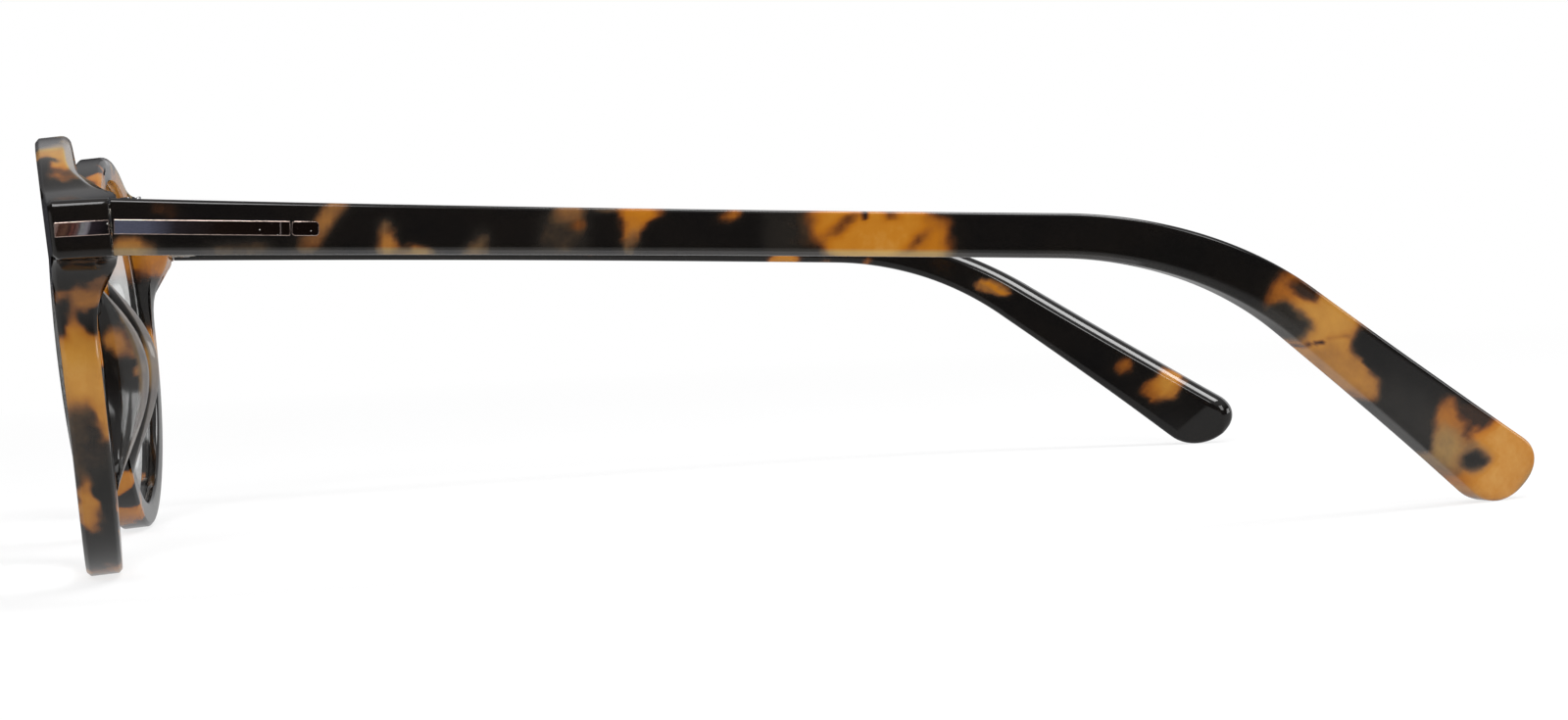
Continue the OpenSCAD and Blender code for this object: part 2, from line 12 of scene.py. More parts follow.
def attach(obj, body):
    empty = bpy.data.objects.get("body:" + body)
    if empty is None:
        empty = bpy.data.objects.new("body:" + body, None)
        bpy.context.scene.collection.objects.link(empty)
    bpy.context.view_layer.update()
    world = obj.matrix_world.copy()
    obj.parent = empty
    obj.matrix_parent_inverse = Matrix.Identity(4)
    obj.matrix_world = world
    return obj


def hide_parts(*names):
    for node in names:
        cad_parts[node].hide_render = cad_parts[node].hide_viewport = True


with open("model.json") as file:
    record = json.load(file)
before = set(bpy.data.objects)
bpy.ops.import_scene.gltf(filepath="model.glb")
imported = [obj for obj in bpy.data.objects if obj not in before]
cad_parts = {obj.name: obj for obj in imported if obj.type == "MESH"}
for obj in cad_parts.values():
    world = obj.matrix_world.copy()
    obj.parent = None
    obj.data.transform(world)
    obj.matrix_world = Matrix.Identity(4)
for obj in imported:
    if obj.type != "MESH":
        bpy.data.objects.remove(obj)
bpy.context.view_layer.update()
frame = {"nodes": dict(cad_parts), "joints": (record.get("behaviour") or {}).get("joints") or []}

# Sizes repeated from part.scad, in millimetres and degrees: lenses, front, endpieces, bridge, pads, temples, bars
LENS_W, LENS_H, LENS_X, LENS_Z = 44.0, 38.4, 34.0, -11.85
LENS_T, LENS_R, LENS_BITE, LENS_CLEAR, TOP_SHARE = 1.6, 150.0, 0.55, 0.06, 0.03
HALF_W, FRONT_T, RIM_W, RIM_SIDE, FACE_R = 71.0, 3.55, 2.9, 0.5, 650.0
FRONT_LEAN, JOINT_LEAN, JOINT_GAP = 7.0, 4.0, 0.16
END_DEPTH, END_H, HINGE_X, HINGE_Y = 5.5, 5.4, 64.9, 1.55
SWELL_T, SWELL_FLAT, SWELL_FALL, SWELL_UP, SWELL_DOWN = 3.4, 16.0, 4.6, 6.5, 4.5
SWELL_SOFT, SWELL_IN, END_EDGE = 1.25, 0.3, 0.35
END_JOIN, END_RUN, END_SINK, END_SAG, END_SQUARE, END_FLOOR = LENS_X + 16, 12, 0.3, 4.5, 6, LENS_Z + 3
BRIDGE_HALF, BRIDGE_TOP, BRIDGE_H, BRIDGE_EXTRA = 16.0, 2.0, 6.0, 0.4
BRIDGE_RISE, BRIDGE_ARCH, BRIDGE_INNER = 1.4, 2.6, 10.0
BRIDGE_THICK_TO, BRIDGE_THICK_RUN = 11.5, 4
PAD_H, PAD_DROP, PAD_OUT, PAD_W, PAD_SLANT, PAD_GLUE = 22.0, 4.6, 4.5, 3.0, 1.2, 0.03
T_LEN, T_STRAIGHT, T_BEND_R, T_DROP, T_TURN, T_SPLAY = 145.0, 87.0, 36.0, 31.5, 23.0, 3.0
T_H, T_MID_H, T_TIP_H, T_T, T_MID_T = 5.2, 4.15, 8.2, 3.8, 3.2
T_FRONT_SHARE, T_REAR_FROM, T_REAR_SHARE = 0.5, 0.58, 0.42
T_ROUND, TIP_SLANT, TIP_SLANT_L = 4.2, 0.29, 16.0
EDGE, INNER_EDGE = 0.55, 0.35
BAR_H, BAR_T, BAR_PROUD, BAR_L, BAR_GAP, SHORT_BAR_L, BAR_START = 1.35, 0.8, 0.1, 15.9, 0.1, 2.5, 0.1

# Where the outline's parts reach, and how softly they run into one another
END_FROM, BRIDGE_TO, JOINT_FROM, JOINT_LOW = 46, 20, 50, -14
END_CORNER, RIM_TO_END, RIM_TO_END_LOW, RIM_TO_BRIDGE, JOINT_SOFT = 0.85, 0.35, 2.2, 2.4, 0.25

# Bevels, the small one at the joint; how much more a rim's crest is rounded behind, from where and over how much
# it grows; the lean of an endpiece's edges and bar, and how much higher the bar sits
FACE_BEVEL, BACK_BEVEL, SMALL_EDGE, CREST_MORE = 0.5, 0.45, 0.06, 0.5
CREST_Z, CREST_X = (2.5, 2.5), (22, 4)
END_TILT, END_BAR_UP = 3.2, 0.13
BEVEL = np.array([(1, 0), (0.84, 0.03), (0.7, 0.12), (0.12, 0.7), (0.03, 0.84), (0, 1)])

# Steps of the meshes, in mm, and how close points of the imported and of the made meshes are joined, in metres
EDGE_STEP, GRID_X, GRID_Z, GRID_IN, LENS_MARGIN, TEMPLE_STEP = 0.42, 0.55, 0.5, 1.3, 0.7, 0.55
WALL_POINTS, LENS_POINTS, LENS_RINGS, PAD_STEPS = 300, 180, 14, 60
CAD_WELD, WELD = 1e-6, 1e-7


rad = math.radians


def unit(v):
    v = np.asarray(v, float)
    return v / np.linalg.norm(v)


def ease(v):
    """From 0 to 1 with a soft start and end."""
    return v * v * (3 - 2 * v)


def soft_step(v):
    """Falls from 1 to 0 as v passes 0."""
    return 1 / (1 + np.exp(np.clip(v, -40, 40)))


def blend(a, b, share):
    return a * (1 - share) + b * share


def grown(v, start, run):
    """0 up to start, then rising to 1 over a run; falling upwards where the run is negative."""
    return np.clip((v - start) / run, 0, 1)


def face(x):
    return x * x / (2 * FACE_R)


JOINT_DEPTH = END_DEPTH + face(HALF_W)
TEMPLE_X = HALF_W - T_MID_T / 2
LENS_SET = FRONT_T / 2 - (LENS_H / 2) ** 2 / (2 * LENS_R) - 0.12

# How the glasses stand on the floor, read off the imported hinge
fold = next(j for j in frame["joints"] if j["name"] == "left_temple_fold")
STAND_LEAN = JOINT_LEAN + math.degrees(math.asin(fold["axis"][1]))


def turned(p, degrees):
    """Points turned about the X axis."""
    c, s = math.cos(rad(degrees)), math.sin(rad(degrees))
    p = np.asarray(p, float)
    return np.stack([p[..., 0], p[..., 1] * c - p[..., 2] * s, p[..., 1] * s + p[..., 2] * c], -1)


HINGE_POINT = turned(turned([HINGE_X, HINGE_Y, 0], JOINT_LEAN), -STAND_LEAN)
STAND_MOVE = np.array(fold["pos_m"]) * 1000 - HINGE_POINT


def stood(p):
    """From millimetres as worn to metres as the glasses stand."""
    return (turned(p, -STAND_LEAN) + STAND_MOVE) / 1000


def front_space(p):
    """From the front's drawn frame, its face at y = 0, to the worn one."""
    return turned(np.asarray(p, float) - [0, JOINT_DEPTH, 0], FRONT_LEAN)


# Outline of the front, as one smooth edge round rim, endpiece and bridge

def opening(a):
    """Edge of a lens opening at angle a, round its middle."""
    return np.stack([LENS_W / 2 * np.cos(a) * (1 + TOP_SHARE * np.sin(a)), LENS_H / 2 * np.sin(a)], -1)


def opening_out(a):
    dx = LENS_W / 2 * (TOP_SHARE * np.cos(2 * a) - np.sin(a))
    dz = LENS_H / 2 * np.cos(a)
    n = np.stack([dz, -dx], -1)
    return n / np.linalg.norm(n, axis=-1, keepdims=True)


def opening_offset(a, r):
    return np.array([LENS_X, LENS_Z]) + opening(a) + np.asarray(r)[..., None] * opening_out(a)


def rim_width(a):
    return RIM_W + RIM_SIDE * np.cos(a) ** 2


turn_a = np.linspace(0, 2 * np.pi, 1441)[:-1]
rim_edge = opening_offset(turn_a, rim_width(turn_a)) - [LENS_X, LENS_Z]
rim_polar = np.arctan2(rim_edge[:, 1], rim_edge[:, 0])
rim_reach = np.hypot(rim_edge[:, 0], rim_edge[:, 1])
rim_order = np.argsort(rim_polar)
rim_polar, rim_reach = rim_polar[rim_order], rim_reach[rim_order]
rim_slope = np.gradient(rim_reach, rim_polar)


def smooth_min(a, b, k):
    """The smaller of a and b, rounded over k where they meet."""
    h = np.clip(0.5 + 0.5 * (b - a) / k, 0, 1)
    return blend(b, a, h) - k * h * (1 - h)


def rim_top(x):
    s = np.clip(np.abs(x - LENS_X) / (LENS_W / 2 + RIM_W + RIM_SIDE), 0, 1)
    return LENS_Z + (LENS_H / 2 + RIM_W) * np.sqrt(1 - s * s)


def end_top(x):
    start = rim_top(END_JOIN) - END_SINK
    fall = np.clip((END_JOIN + END_RUN - x) / END_RUN, 0, None) ** 2
    return np.where(x < END_JOIN, rim_top(x) - END_SINK, END_H / 2 + (start - END_H / 2) * fall)


def end_low(x):
    sag = END_SAG * np.clip((HALF_W - END_SQUARE - x) / END_SQUARE, 0, None) ** 2
    return np.maximum(-END_H / 2 - sag, END_FLOOR)


def bridge_up(x):
    return BRIDGE_TOP + BRIDGE_RISE * (x / BRIDGE_HALF) ** 2


def bridge_low(x):
    return BRIDGE_TOP - BRIDGE_H - BRIDGE_ARCH * (np.minimum(np.abs(x), BRIDGE_INNER) / BRIDGE_INNER) ** 2


def leaned(f, x):
    """How much closer a sloping edge is than its height says."""
    return np.sqrt(1 + ((f(x + 0.01) - f(x - 0.01)) / 0.02) ** 2)


def strip(x, z, low, high):
    """Distance outside the strip between two edges, below zero inside it."""
    return np.maximum((z - high(x)) / leaned(high, x), (low(x) - z) / leaned(low, x))


def outline(x, z):
    """Distance outside the front's outline, below zero inside it. Low down the rim and endpiece meet more softly."""
    x = np.abs(np.asarray(x, float))
    z = np.asarray(z, float)
    u, v = x - LENS_X, z - LENS_Z
    polar, r = np.arctan2(v, u), np.hypot(u, v)
    reach = np.interp(polar, rim_polar, rim_reach, period=2 * np.pi)
    slope = np.interp(polar, rim_polar, rim_slope, period=2 * np.pi)
    rim = (r - reach) / np.sqrt(1 + (slope / reach) ** 2)
    sides = np.maximum(strip(x, z, end_low, end_top), END_FROM - x)
    end = -smooth_min(-sides, HALF_W - x, END_CORNER)
    bridge = np.maximum(strip(x, z, bridge_low, bridge_up), x - BRIDGE_TO)
    d = smooth_min(rim, end, RIM_TO_END + RIM_TO_END_LOW * soft_step((z + 1) / 0.5))
    return smooth_min(d, bridge, RIM_TO_BRIDGE)


def outline_out(x, z):
    """Direction straight out of the outline."""
    e = 0.01
    g = np.stack([outline(x + e, z) - outline(x - e, z), outline(x, z + e) - outline(x, z - e)], -1)
    g = g / (2 * e)
    return g / np.maximum(np.linalg.norm(g, axis=-1, keepdims=True), 1e-9)


def settle(p):
    """Moves a point onto the outline."""
    for _ in range(4):
        p = p - float(outline(*p)) * outline_out(*p)
    return p


def settle_middle(z):
    """The outline's point on the middle line, near height z."""
    for _ in range(8):
        z = z - float(outline(0.0, z)) * np.sign(float(outline(0.0, z + 0.01) - outline(0.0, z - 0.01)))
    return np.array([0.0, z])


def trace_outline(step):
    """Points along the outline, from the bridge's upper edge round to its lower edge."""
    points = [settle_middle(BRIDGE_TOP)]
    end = settle_middle(BRIDGE_TOP - BRIDGE_H)
    while len(points) < 4000:
        p = points[-1]
        n = outline_out(max(p[0], 1e-6), p[1])
        length = step
        while True:
            q = settle(p + length * np.array([n[1], -n[0]]))
            bend = np.arccos(np.clip(outline_out(*q) @ n, -1, 1))
            if bend < rad(8) or length < 0.1:
                break
            length *= 0.7
        if len(points) > 50 and q[0] < 0.6 * step:
            break
        points.append(q)
    return np.array(points + [end])


def joint_plane(x, z):
    """How far behind the face the joint cuts the endpiece."""
    lean = rad(FRONT_LEAN - JOINT_LEAN)
    return JOINT_DEPTH + (z * math.sin(lean) - JOINT_GAP) / math.cos(lean) - face(x)


def front_thick(x, z):
    """Thickness of the front, which swells towards the endpieces and ends at the joint."""
    x, z = np.abs(np.asarray(x, float)), np.asarray(z, float)
    rise = np.exp(-(np.clip(HALF_W - SWELL_FLAT - x, 0, None) / SWELL_FALL) ** 2)
    outside = 2 * np.hypot((x - LENS_X) / LENS_W, (z - LENS_Z) / LENS_H) - 1
    rise = rise * np.clip(SWELL_IN + 5 * np.clip(outside, 0, None), 0, 1)
    rise = rise * soft_step((z - SWELL_UP) / 0.5) * soft_step(-(z + SWELL_DOWN) / SWELL_SOFT)
    bridge = BRIDGE_EXTRA * ease(grown(x, BRIDGE_THICK_TO, -BRIDGE_THICK_RUN))
    t = FRONT_T + SWELL_T * rise + bridge
    return np.where((x > JOINT_FROM) & (z > JOINT_LOW), smooth_min(t, joint_plane(x, z), JOINT_SOFT), t)


def cut_share(x, z):
    """1 where the joint's flat face cuts the endpiece, falling to 0 in front of it."""
    return np.where(z > JOINT_LOW, np.clip(1 - (joint_plane(x, z) - front_thick(x, z)) / 0.8, 0, 1), 0)


def placed(name, data):
    obj = bpy.data.objects.new(name, data)
    bpy.context.scene.collection.objects.link(obj)
    return obj


def link(name, verts, faces, material=None):
    mesh = bpy.data.meshes.new(name)
    mesh.from_pydata([tuple(v) for v in verts], [], [tuple(f) for f in faces])
    mesh.validate()
    if material is not None:
        mesh.materials.append(material)
    return placed(name, mesh)


def cleaned(mesh, weld, flat=None):
    """Joins points closer than weld metres, turns the faces outwards and shades them smooth; where a flat angle
    is given, faces that bend less become one."""
    bm = bmesh.new()
    bm.from_mesh(mesh)
    bmesh.ops.remove_doubles(bm, verts=bm.verts, dist=weld)
    if flat is not None:
        bmesh.ops.dissolve_limit(bm, angle_limit=rad(flat), verts=bm.verts, edges=bm.edges)
    bmesh.ops.recalc_face_normals(bm, faces=bm.faces)
    bm.to_mesh(mesh)
    bm.free()
    mesh.polygons.foreach_set("use_smooth", [True] * len(mesh.polygons))


def smooth(obj, sharp):
    """Shades a made piece smooth up to a crease of sharp degrees."""
    cleaned(obj.data, WELD)
    obj.data.set_sharp_from_angle(angle=rad(sharp))
    even = obj.modifiers.new("even", "WEIGHTED_NORMAL")
    even.keep_sharp = True
    even.weight = 60


def quads(rows, around, first, closed):
    """Faces between neighbouring rows of `around` points, whose indices start at first."""
    made = []
    for r in range(rows - 1):
        for j in range(around if closed else around - 1):
            a, b = first + r * around + j, first + r * around + (j + 1) % around
            made.append((a, b, b + around, a + around))
    return made


def tube(rows, around):
    """Faces of a tube that is closed at both ends."""
    last = (rows - 1) * around
    return quads(rows, around, 0, True) + [tuple(range(around)), tuple(last + j for j in reversed(range(around)))]


def past_lens(x, z, margin):
    """Whether points lie outside the lens opening, by a margin."""
    u, v = (x - LENS_X) / (LENS_W / 2 + margin), (z - LENS_Z) / (LENS_H / 2 + margin)
    return u * u + v * v > 1


def front_half():
    """Points and faces of the front's left half, in its drawn frame, open at its middle."""
    edge = trace_outline(EDGE_STEP)
    out = outline_out(np.maximum(edge[:, 0], 1e-6), edge[:, 1])
    out[0], out[-1] = (0, 1), (0, -1)
    count = len(edge)
    verts, faces, rows = [], [], []
    # Share of the rounding that the rim's crest has behind, in place of the bevel
    crest = ease(grown(edge[:, 1], *CREST_Z)) * grown(edge[:, 0], *CREST_X)
    r_back = BACK_BEVEL - (BACK_BEVEL - SMALL_EDGE) * cut_share(*(edge - 0.3 * out).T) + CREST_MORE * crest
    turn = np.linspace(0, np.pi / 2, len(BEVEL))
    rounded = np.stack([1 - np.sin(turn), 1 - np.cos(turn)], 1)

    def point(q, depth):
        return np.stack([q[:, 0], face(q[:, 0]) + depth, q[:, 1]], 1)

    for inset, depth in BEVEL * FACE_BEVEL:
        rows.append(point(edge - out * inset, depth))
    back_depth = front_thick(*edge.T)
    for s in np.linspace(0, 1, 11)[1:-1]:
        rows.append(point(edge, FACE_BEVEL + s * (back_depth - r_back - FACE_BEVEL)))
    for flat, curved in zip(BEVEL[::-1], rounded[::-1]):
        inset, depth = (blend(flat[n], curved[n], crest) for n in range(2))
        q = edge - out * (r_back * inset)[:, None]
        rows.append(point(q, front_thick(*q.T) - r_back * depth))
    for row in rows:
        verts.extend(row)
    faces += quads(len(rows), count, 0, False)
    outer_front, outer_back = list(range(count)), list(range((len(rows) - 1) * count, len(rows) * count))

    # Wall of the lens opening with the lens's groove
    n = WALL_POINTS
    a = np.arange(n) * 2 * np.pi / n
    wall = []  # how far out of the opening, how deep, and whether that is counted from the back
    rim_at = opening_offset(a, 0)
    g = LENS_SET - (rim_at[:, 0] - LENS_X) ** 2 / (2 * FACE_R)
    g = g + ((rim_at - [LENS_X, LENS_Z]) ** 2).sum(1) / (2 * LENS_R)
    half, deep = LENS_T / 2 + LENS_CLEAR, LENS_BITE + 2 * LENS_CLEAR
    for t in np.linspace(0, np.pi / 2, 5):
        wall.append((INNER_EDGE * (1 - math.sin(t)), INNER_EDGE * (1 - math.cos(t)), False))
    wall += [(0, g - half, False), (deep, g - half, False), (deep, g + half, False), (0, g + half, False)]
    for t in np.linspace(0, np.pi / 2, 5):
        wall.append((INNER_EDGE * (1 - math.cos(t)), -INNER_EDGE * (1 - math.sin(t)), True))
    first = len(verts)
    for s, depth, from_back in wall:
        q = opening_offset(a, s)
        verts.extend(point(q, depth + (front_thick(*q.T) if from_back else 0)))
    faces += quads(len(wall), n, first, True)
    inner_front = list(range(first, first + n))
    inner_back = list(range(first + (len(wall) - 1) * n, first + len(wall) * n))

    # Face and back between outline, opening and the middle
    grid = np.array([(x, z) for z in np.arange(-36, 12, GRID_Z)
                     for x in np.arange(0.5 + 0.25 * (round(z / GRID_Z) % 2), HALF_W + 0.5, GRID_X)])
    grid = grid[(outline(*grid.T) < -GRID_IN) & past_lens(*grid.T, LENS_MARGIN)]
    for outer, inner, back in ((outer_front, inner_front, False), (outer_back, inner_back, True)):
        ring = outer + inner
        middle = np.linspace(verts[outer[0]][2], verts[outer[-1]][2], 12)[1:-1]
        flat = [(verts[i][0], verts[i][2]) for i in ring] + [(0.0, z) for z in middle] + [tuple(p) for p in grid]
        k, m = len(outer), len(inner)
        bound = [(i, i + 1) for i in range(k - 1)] + [(k + i, k + (i + 1) % m) for i in range(m)]
        points, _, tris, origin, *_ = delaunay_2d_cdt([Vector(p) for p in flat], bound, [], 0, 1e-5)
        index, extra = {}, []
        for i, p in enumerate(points):
            source = [j for j in origin[i] if j < len(ring)]
            index[i] = ring[source[0]] if source else len(verts) + len(extra)
            if not source:
                extra.append((p.x, p.y))
        extra = np.array(extra)
        verts.extend(point(extra, front_thick(*extra.T) if back else 0))
        inside = 0.06 if back else FACE_BEVEL / 2
        for t in tris:
            c = np.mean([points[i][:] for i in t], 0)
            if outline(*c) < -inside and past_lens(*c, 0.2):
                faces.append(tuple(index[i] for i in t))
    return np.array(verts), faces


def straightened(verts):
    """Brings the endpiece's edges in line with the temple's, which leave the front at a slight angle."""
    x, y, z = np.abs(verts[:, 0]), verts[:, 1], verts[:, 2]
    share = grown(x, 58, 6) * grown(z, -7, 3.5)
    moved = verts.copy()
    moved[:, 2] = z + share * np.clip(JOINT_DEPTH - y, 0, None) * math.tan(rad(END_TILT))
    return moved


def both_halves(verts, faces):
    mirrored = verts * [-1, 1, 1]
    shift = len(verts)
    return np.concatenate([verts, mirrored]), faces + [tuple(i + shift for i in reversed(f)) for f in faces]


# Temples

OUT_DIR = np.array([math.sin(rad(T_SPLAY)), math.cos(rad(T_SPLAY)), 0])
TIP_DIR = np.array([-math.sin(rad(T_TURN)) * math.cos(rad(T_DROP)),
                    math.cos(rad(T_TURN)) * math.cos(rad(T_DROP)), -math.sin(rad(T_DROP))])
BEND = math.acos(OUT_DIR @ TIP_DIR)
BEND_SIDE = unit(TIP_DIR - OUT_DIR * (OUT_DIR @ TIP_DIR))
BEND_LEN = T_BEND_R * BEND


def temple_frame(s):
    """Middle, outward side and upward side of a temple, s mm behind its joint."""
    a = min(max((s - T_STRAIGHT) / T_BEND_R, 0), BEND)
    middle = (np.array([TEMPLE_X, 0, 0]) + OUT_DIR * min(s, T_STRAIGHT)
              + T_BEND_R * (math.sin(a) * OUT_DIR + (1 - math.cos(a)) * BEND_SIDE)
              + TIP_DIR * max(s - T_STRAIGHT - BEND_LEN, 0))
    along = math.cos(a) * OUT_DIR + math.sin(a) * BEND_SIDE
    side = unit([along[1], -along[0], 0])
    return middle, side, np.cross(side, along)


def temple_height(s):
    f = s / T_LEN
    return (T_MID_H + (T_H - T_MID_H) * max(0, 1 - f / T_FRONT_SHARE) ** 2
            + (T_TIP_H - T_MID_H) * max(0, (f - T_REAR_FROM) / T_REAR_SHARE) ** 2)


def temple_thick(s):
    return T_MID_T + (T_T - T_MID_T) * max(0, 1 - s / T_LEN / T_FRONT_SHARE) ** 2


CORNER_POINTS = 7


def temple_outline(s, inset=0.0):
    """Rounded section of a temple: outward and upward distances from its middle."""
    r = max(0, (s - T_LEN + T_ROUND) / T_ROUND)
    k = math.sqrt(max(0.004, 1 - r * r))
    h = temple_height(s) / 2 * k - inset
    narrower = (1 - k) * 1.1 + inset
    o = T_MID_T / 2 - narrower
    i = T_MID_T / 2 - temple_thick(s) + narrower
    # Corners, outer and inner above, then inner and outer below: place and radii sideways and upwards.
    # The upper inner one is wider behind the bend.
    wide = 0.6 + 0.55 * min(1, max(0, (s - 84) / 12))
    corner = [(o, h, 0.38, 0.38), (i, h, wide, wide), (i, -h, 0.6, 0.6), (o, -h, 0.55, 0.75)]
    limit = min((o - i) / 2, h) * 0.98
    points = []
    for n, (x, z, rx, rz) in enumerate(corner):
        rx, rz = min(rx, limit), min(rz, limit)
        cx, cz = x - math.copysign(rx, x - (o + i) / 2), z - math.copysign(rz, z)
        start = n * 90
        for t in range(CORNER_POINTS):
            b = rad(start + 90 * t / (CORNER_POINTS - 1))
            flat = 1.55 if n == 1 else 1
            points.append((cx + rx * math.copysign(abs(math.cos(b)) ** flat, math.cos(b)),
                           cz + rz * math.copysign(abs(math.sin(b)) ** flat, math.sin(b))))
    return points


def tip_slant(s):
    """How far the tip's end leans, for each mm of height."""
    return TIP_SLANT * ease(min(1, max(0, (s - T_LEN + TIP_SLANT_L) / (TIP_SLANT_L - T_ROUND))))


def even_ring(points, counts):
    """The section with further points between its corners."""
    ring = []
    for n in range(4):
        first, after = n * CORNER_POINTS, (n + 1) * CORNER_POINTS
        ring += points[first:after]
        a, b = np.array(points[after - 1]), np.array(points[after % len(points)])
        for t in range(1, counts[n]):
            ring.append(tuple(a + (b - a) * t / counts[n]))
    return ring


def temple_mesh():
    """Points and faces of the left temple as worn, with each point's place along it, up it as a share of its
    half height, and outwards."""
    counts = (5, 10, 5, 10)
    stations = list(np.arange(0, 12, 0.5)) + list(np.arange(12, T_LEN - T_ROUND, TEMPLE_STEP))
    stations += [T_LEN - T_ROUND * (1 - math.sin(rad(t))) for t in range(0, 91, 6)]
    verts, marks = [], []
    for number, s in enumerate([0] + stations):
        ring = even_ring(temple_outline(s, 0 if number else SMALL_EDGE), counts)
        middle, side, up = temple_frame(s)
        for x, z in ring:
            p = middle + x * side + z * (up + tip_slant(s) * np.cross(up, side))
            if s < 3:
                # The first rings lie along the slanting joint face
                start = -z * math.tan(rad(JOINT_LEAN)) + x * math.sin(rad(T_SPLAY)) + (SMALL_EDGE if number else 0)
                p = p + OUT_DIR * start * (1 - s / 3)
            verts.append(p)
            marks.append((s, z / (temple_height(s) / 2), x))
    return np.array(verts), tube(len(stations) + 1, len(ring)), np.array(marks)


# Nose pads: rings down the nasal side of the rim

def pad_mesh():
    """Points and faces of a pad in the front's frame, with each point's share of the pad's rise."""
    steps = PAD_STEPS
    shape = np.array([[0, 0], [0.25, 0.45], [0.5, 0.8], [0.72, 0.96], [0.9, 1], [1.05, 0.95], [1.12, 0.7], [1, 0]])
    last = len(shape) - 1
    fine = []
    for n in range(last):
        a, b = shape[max(n - 1, 0)], shape[n]
        c, d = shape[n + 1], shape[min(n + 2, last)]
        for t in np.arange(0, 1, 0.25):
            fine.append(0.5 * (2 * b + (c - a) * t + (2 * a - 5 * b + 4 * c - d) * t ** 2
                               + (3 * b - a - 3 * c + d) * t ** 3))
    fine = np.array(fine + [shape[last]])
    wide = LENS_W / 2 + RIM_W + RIM_SIDE
    verts = []
    for i in range(steps + 1):
        s = i / steps
        z = -PAD_DROP - PAD_H * s
        drop = (z - LENS_Z) / (LENS_H / 2 + RIM_W)
        x = LENS_X - wide * math.sqrt(1 - drop * drop) + EDGE / 2
        out = 0.1 + PAD_OUT * max(0, math.sin(math.pi * s ** 0.85)) ** 1.2
        for p in fine:
            flare = p[0] * PAD_W * (0.72 + 0.28 * max(0, 1 - p[1] / 0.3))
            px = x + flare + p[1] * PAD_SLANT * out / PAD_OUT * 0.6
            verts.append((px, face(px) + FRONT_T + PAD_GLUE + max(0, p[1]) * out, z))
    return np.array(verts), tube(steps + 1, len(fine)), np.tile(fine[:, 1], steps + 1)


# Lenses: two curved skins and a narrow edge

def lens_mesh():
    n, rings = LENS_POINTS, LENS_RINGS
    a = np.arange(n) * 2 * np.pi / n
    rim = opening(a) + LENS_BITE * opening_out(a)
    verts, faces = [], []

    def skin(q, side):
        r = LENS_R - side * LENS_T / 2
        return LENS_R - math.sqrt(max(0, r * r - q[0] ** 2 - q[1] ** 2))

    for side in (-1, 1):
        base = len(verts)
        verts.append((0, skin((0, 0), side), 0))
        for k in range(1, rings + 1):
            share = k / rings if k < rings else 0.996
            for q in rim * share:
                verts.append((q[0], skin(q, side), q[1]))
        for j in range(n):
            faces.append((base, base + 1 + j, base + 1 + (j + 1) % n))
        faces += quads(rings, n, base + 1, True)
    per = 1 + rings * n
    middle = len(verts)
    for q in rim:
        verts.append((q[0], (skin(q, -1) + skin(q, 1)) / 2, q[1]))
    for j in range(n):
        k = (j + 1) % n
        faces.append((per - n + j, per - n + k, middle + k, middle + j))
        faces.append((2 * per - n + j, 2 * per - n + k, middle + k, middle + j))
    verts = np.array(verts)
    turn = math.atan(LENS_X / FACE_R)
    c, s = math.cos(turn), math.sin(turn)
    x, y = verts[:, 0] * c - verts[:, 1] * s, verts[:, 0] * s + verts[:, 1] * c
    return np.stack([x + LENS_X, y + face(LENS_X) + LENS_SET, verts[:, 2] + LENS_Z], 1), faces


# Metal bars let into endpieces and temples

def bar_mesh(length, ends):
    """Points and faces of a bar along +Y with its outer face at x = 0 and bevelled edges."""
    bm = bmesh.new()
    bmesh.ops.create_cube(bm, size=1)
    for v in bm.verts:
        v.co = ((v.co.x - 0.5) * BAR_T, (v.co.y + 0.5) * length, v.co.z * BAR_H)
    upright = [e for e in bm.edges if abs(e.verts[0].co.x - e.verts[1].co.x) > 0.5 * BAR_T]
    bmesh.ops.bevel(bm, geom=upright, offset=ends, segments=4, profile=0.5, affect="EDGES")
    outer = [e for e in bm.edges if all(abs(v.co.x) < 1e-6 for v in e.verts) and len(e.link_faces) == 2]
    bmesh.ops.bevel(bm, geom=outer, offset=0.1, segments=2, profile=0.6, affect="EDGES")
    bm.verts.index_update()
    verts = np.array([v.co[:] for v in bm.verts])
    faces = [[v.index for v in f.verts] for f in bm.faces]
    bm.free()
    # The bevel's faces start at any corner, so each is turned to its first one for the same result each run
    return verts, sorted(f[f.index(min(f)):] + f[:f.index(min(f))] for f in faces)


def temple_space(p):
    c, s = math.cos(rad(T_SPLAY)), math.sin(rad(T_SPLAY))
    p = np.asarray(p, float)
    return np.stack([p[:, 0] * c + p[:, 1] * s + TEMPLE_X, p[:, 1] * c - p[:, 0] * s, p[:, 2]], 1)


def piece(name, verts, faces, side, body, node, material, sharp=38, marks=None):
    """A piece that stands for a CAD node; side is 1 on the wearer's left and -1, mirrored, on the right.
    Marks are numbers for each point, under the names that its material reads them by."""
    points = stood(verts) * [side, 1, 1]
    faces = faces if side > 0 else [tuple(reversed(f)) for f in faces]
    obj = link(name, points, faces, material)
    for key, values in (marks or {}).items():
        kind, field = ("FLOAT", "value") if values.ndim == 1 else ("FLOAT_VECTOR", "vector")
        obj.data.attributes.new(key, kind, "POINT").data.foreach_set(field, values.ravel())
    smooth(obj, sharp)
    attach(obj, body)
    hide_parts(node)


